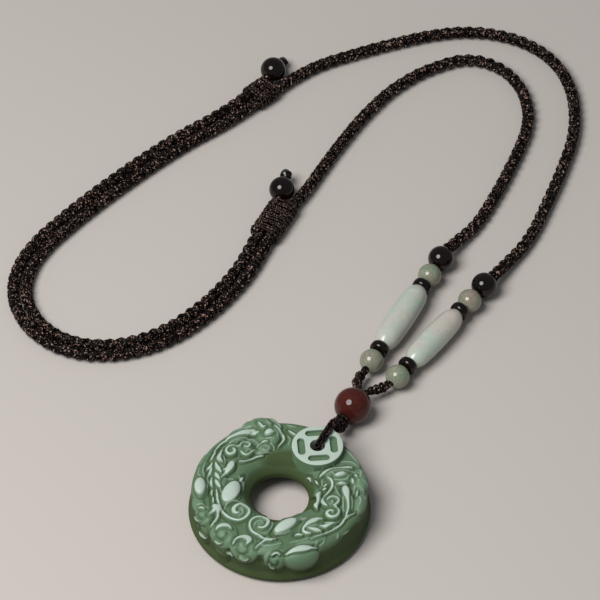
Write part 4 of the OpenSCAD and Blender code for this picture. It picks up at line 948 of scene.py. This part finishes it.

# Masks for the stone: the pale raised lines and coin's face, partly a painted reflection of the light,
# the painted shade in the ditches and grooves, and the painted shade on the lower walls and the side
# of the hole (from where, over how much) and in two patches, [x, y, half length, half width, turn]
WALL_SHADE, HOLE_SHADE = (25.6, 5), (10.4, 2.8)
painted_shade_patches = [[1.6, 10.6, 6.6, 3.8, 0], [24.4, -19.1, 10, 4.2, 52]]
x, y, z = points_of(ring) / MM
out = np.hypot(x, y)
over = unrolled(out, z)
flat_x, flat_y = over * x / out, over * y / out
height, pale_crest_and_sheen, ditch = carving(flat_x, flat_y)
fade = smooth((over - HOLE_PLAIN) / HOLE_FADE) * smooth((WALL_END - over) / WALL_FADE)
on_coin = np.hypot(x - COIN_AT[0], y - COIN_AT[1]) < COIN_R + 0.02
# the pale raised lines and the coin's whole face: partly the stone's paler colour and partly a painted
# reflection of the light on the flat polished tops
pale_crest_and_sheen = np.where(on_coin, z > COIN_TOP - 0.12, pale_crest_and_sheen * fade * (z > RING_H / 2))
# painted shade on the coin's lower side, in the ditches and grooves, and on the deepest ground
painted_recess_shade = np.where(on_coin, (z < COIN_TOP - 0.8) * 0.35,
                  np.clip(ditch + 0.4 * smooth((-0.3 - height) / 0.5), 0, 1) * fade)
form = np.clip(height + CARVE_DEPTH, 0, 1.5)
# painted shade on the lower outer wall, starting lower under high relief, on the side of the hole, and in
# two patches
foot = np.maximum(smooth((over - WALL_SHADE[0] - 2.4 * form) / WALL_SHADE[1]),
                  smooth((HOLE_SHADE[0] - over) / HOLE_SHADE[1]))
for e in painted_shade_patches:
    foot = np.maximum(foot, smooth((1.3 - ellipse_reach(flat_x, flat_y, e)) / 0.6))
foot = np.where(on_coin, 0, foot)
for name, mask in (("pale_crest_and_sheen", pale_crest_and_sheen), ("painted_recess_shade", painted_recess_shade), ("foot", foot)):
    attribute = ring.data.attributes.new(name, "FLOAT", "POINT")
    attribute.data.foreach_set("value", mask.astype(np.float32))
pick(ring)
bpy.ops.object.shade_smooth_by_angle(angle=radians(70))

carved_jade = stone_material("carved_green_jade", 110, (0.132, 0.224, 0.137), (0.104, 0.196, 0.106),
                             (0.158, 0.243, 0.152), (0.18, 0.27, 0.18), 0.34, 0.4, 0.3, 0.32)
tree = carved_jade.node_tree
stone = set_values(tree.nodes["Principled BSDF"], {
    "Subsurface Weight": 0.10, "Subsurface Radius": (0.5, 1.0, 0.6), "Subsurface Scale": 0.002})
below = stone.inputs["Base Color"].links[0].from_node
masks = {}
# painted shade of the walls, painted shade of the recesses, then the pale paint of the raised lines,
# partly a painted reflection
for name, other in (("foot", (0.048, 0.072, 0.022)), ("painted_recess_shade", (0.050, 0.085, 0.035)),
                    ("pale_crest_and_sheen", (0.45, 0.55, 0.48))):
    masks[name] = put_node(tree, "Attribute", attribute_name=name)
    below = mixed_over(below, {"B": (*other, 1)}, masks[name], "Fac")
wire(below, "Result", stone, "Base Color")
# the raised lines are polished, the ground between them less, and the lower walls are left dull
dullest = put_node(tree, "Math", operation="MAXIMUM")
for k, name, low, high in ((0, "pale_crest_and_sheen", 0.50, 0.33), (1, "foot", 0, 0.85)):
    dull = put_node(tree, "MapRange", {"To Min": low, "To Max": high})
    wire(masks[name], "Fac", dull, "Value")
    wire(dull, "Result", dullest, k)
wire(dullest, "Value", stone, "Roughness")
ring.data.materials.clear()
ring.data.materials.append(carved_jade)
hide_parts("pendant")
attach(ring, "root")
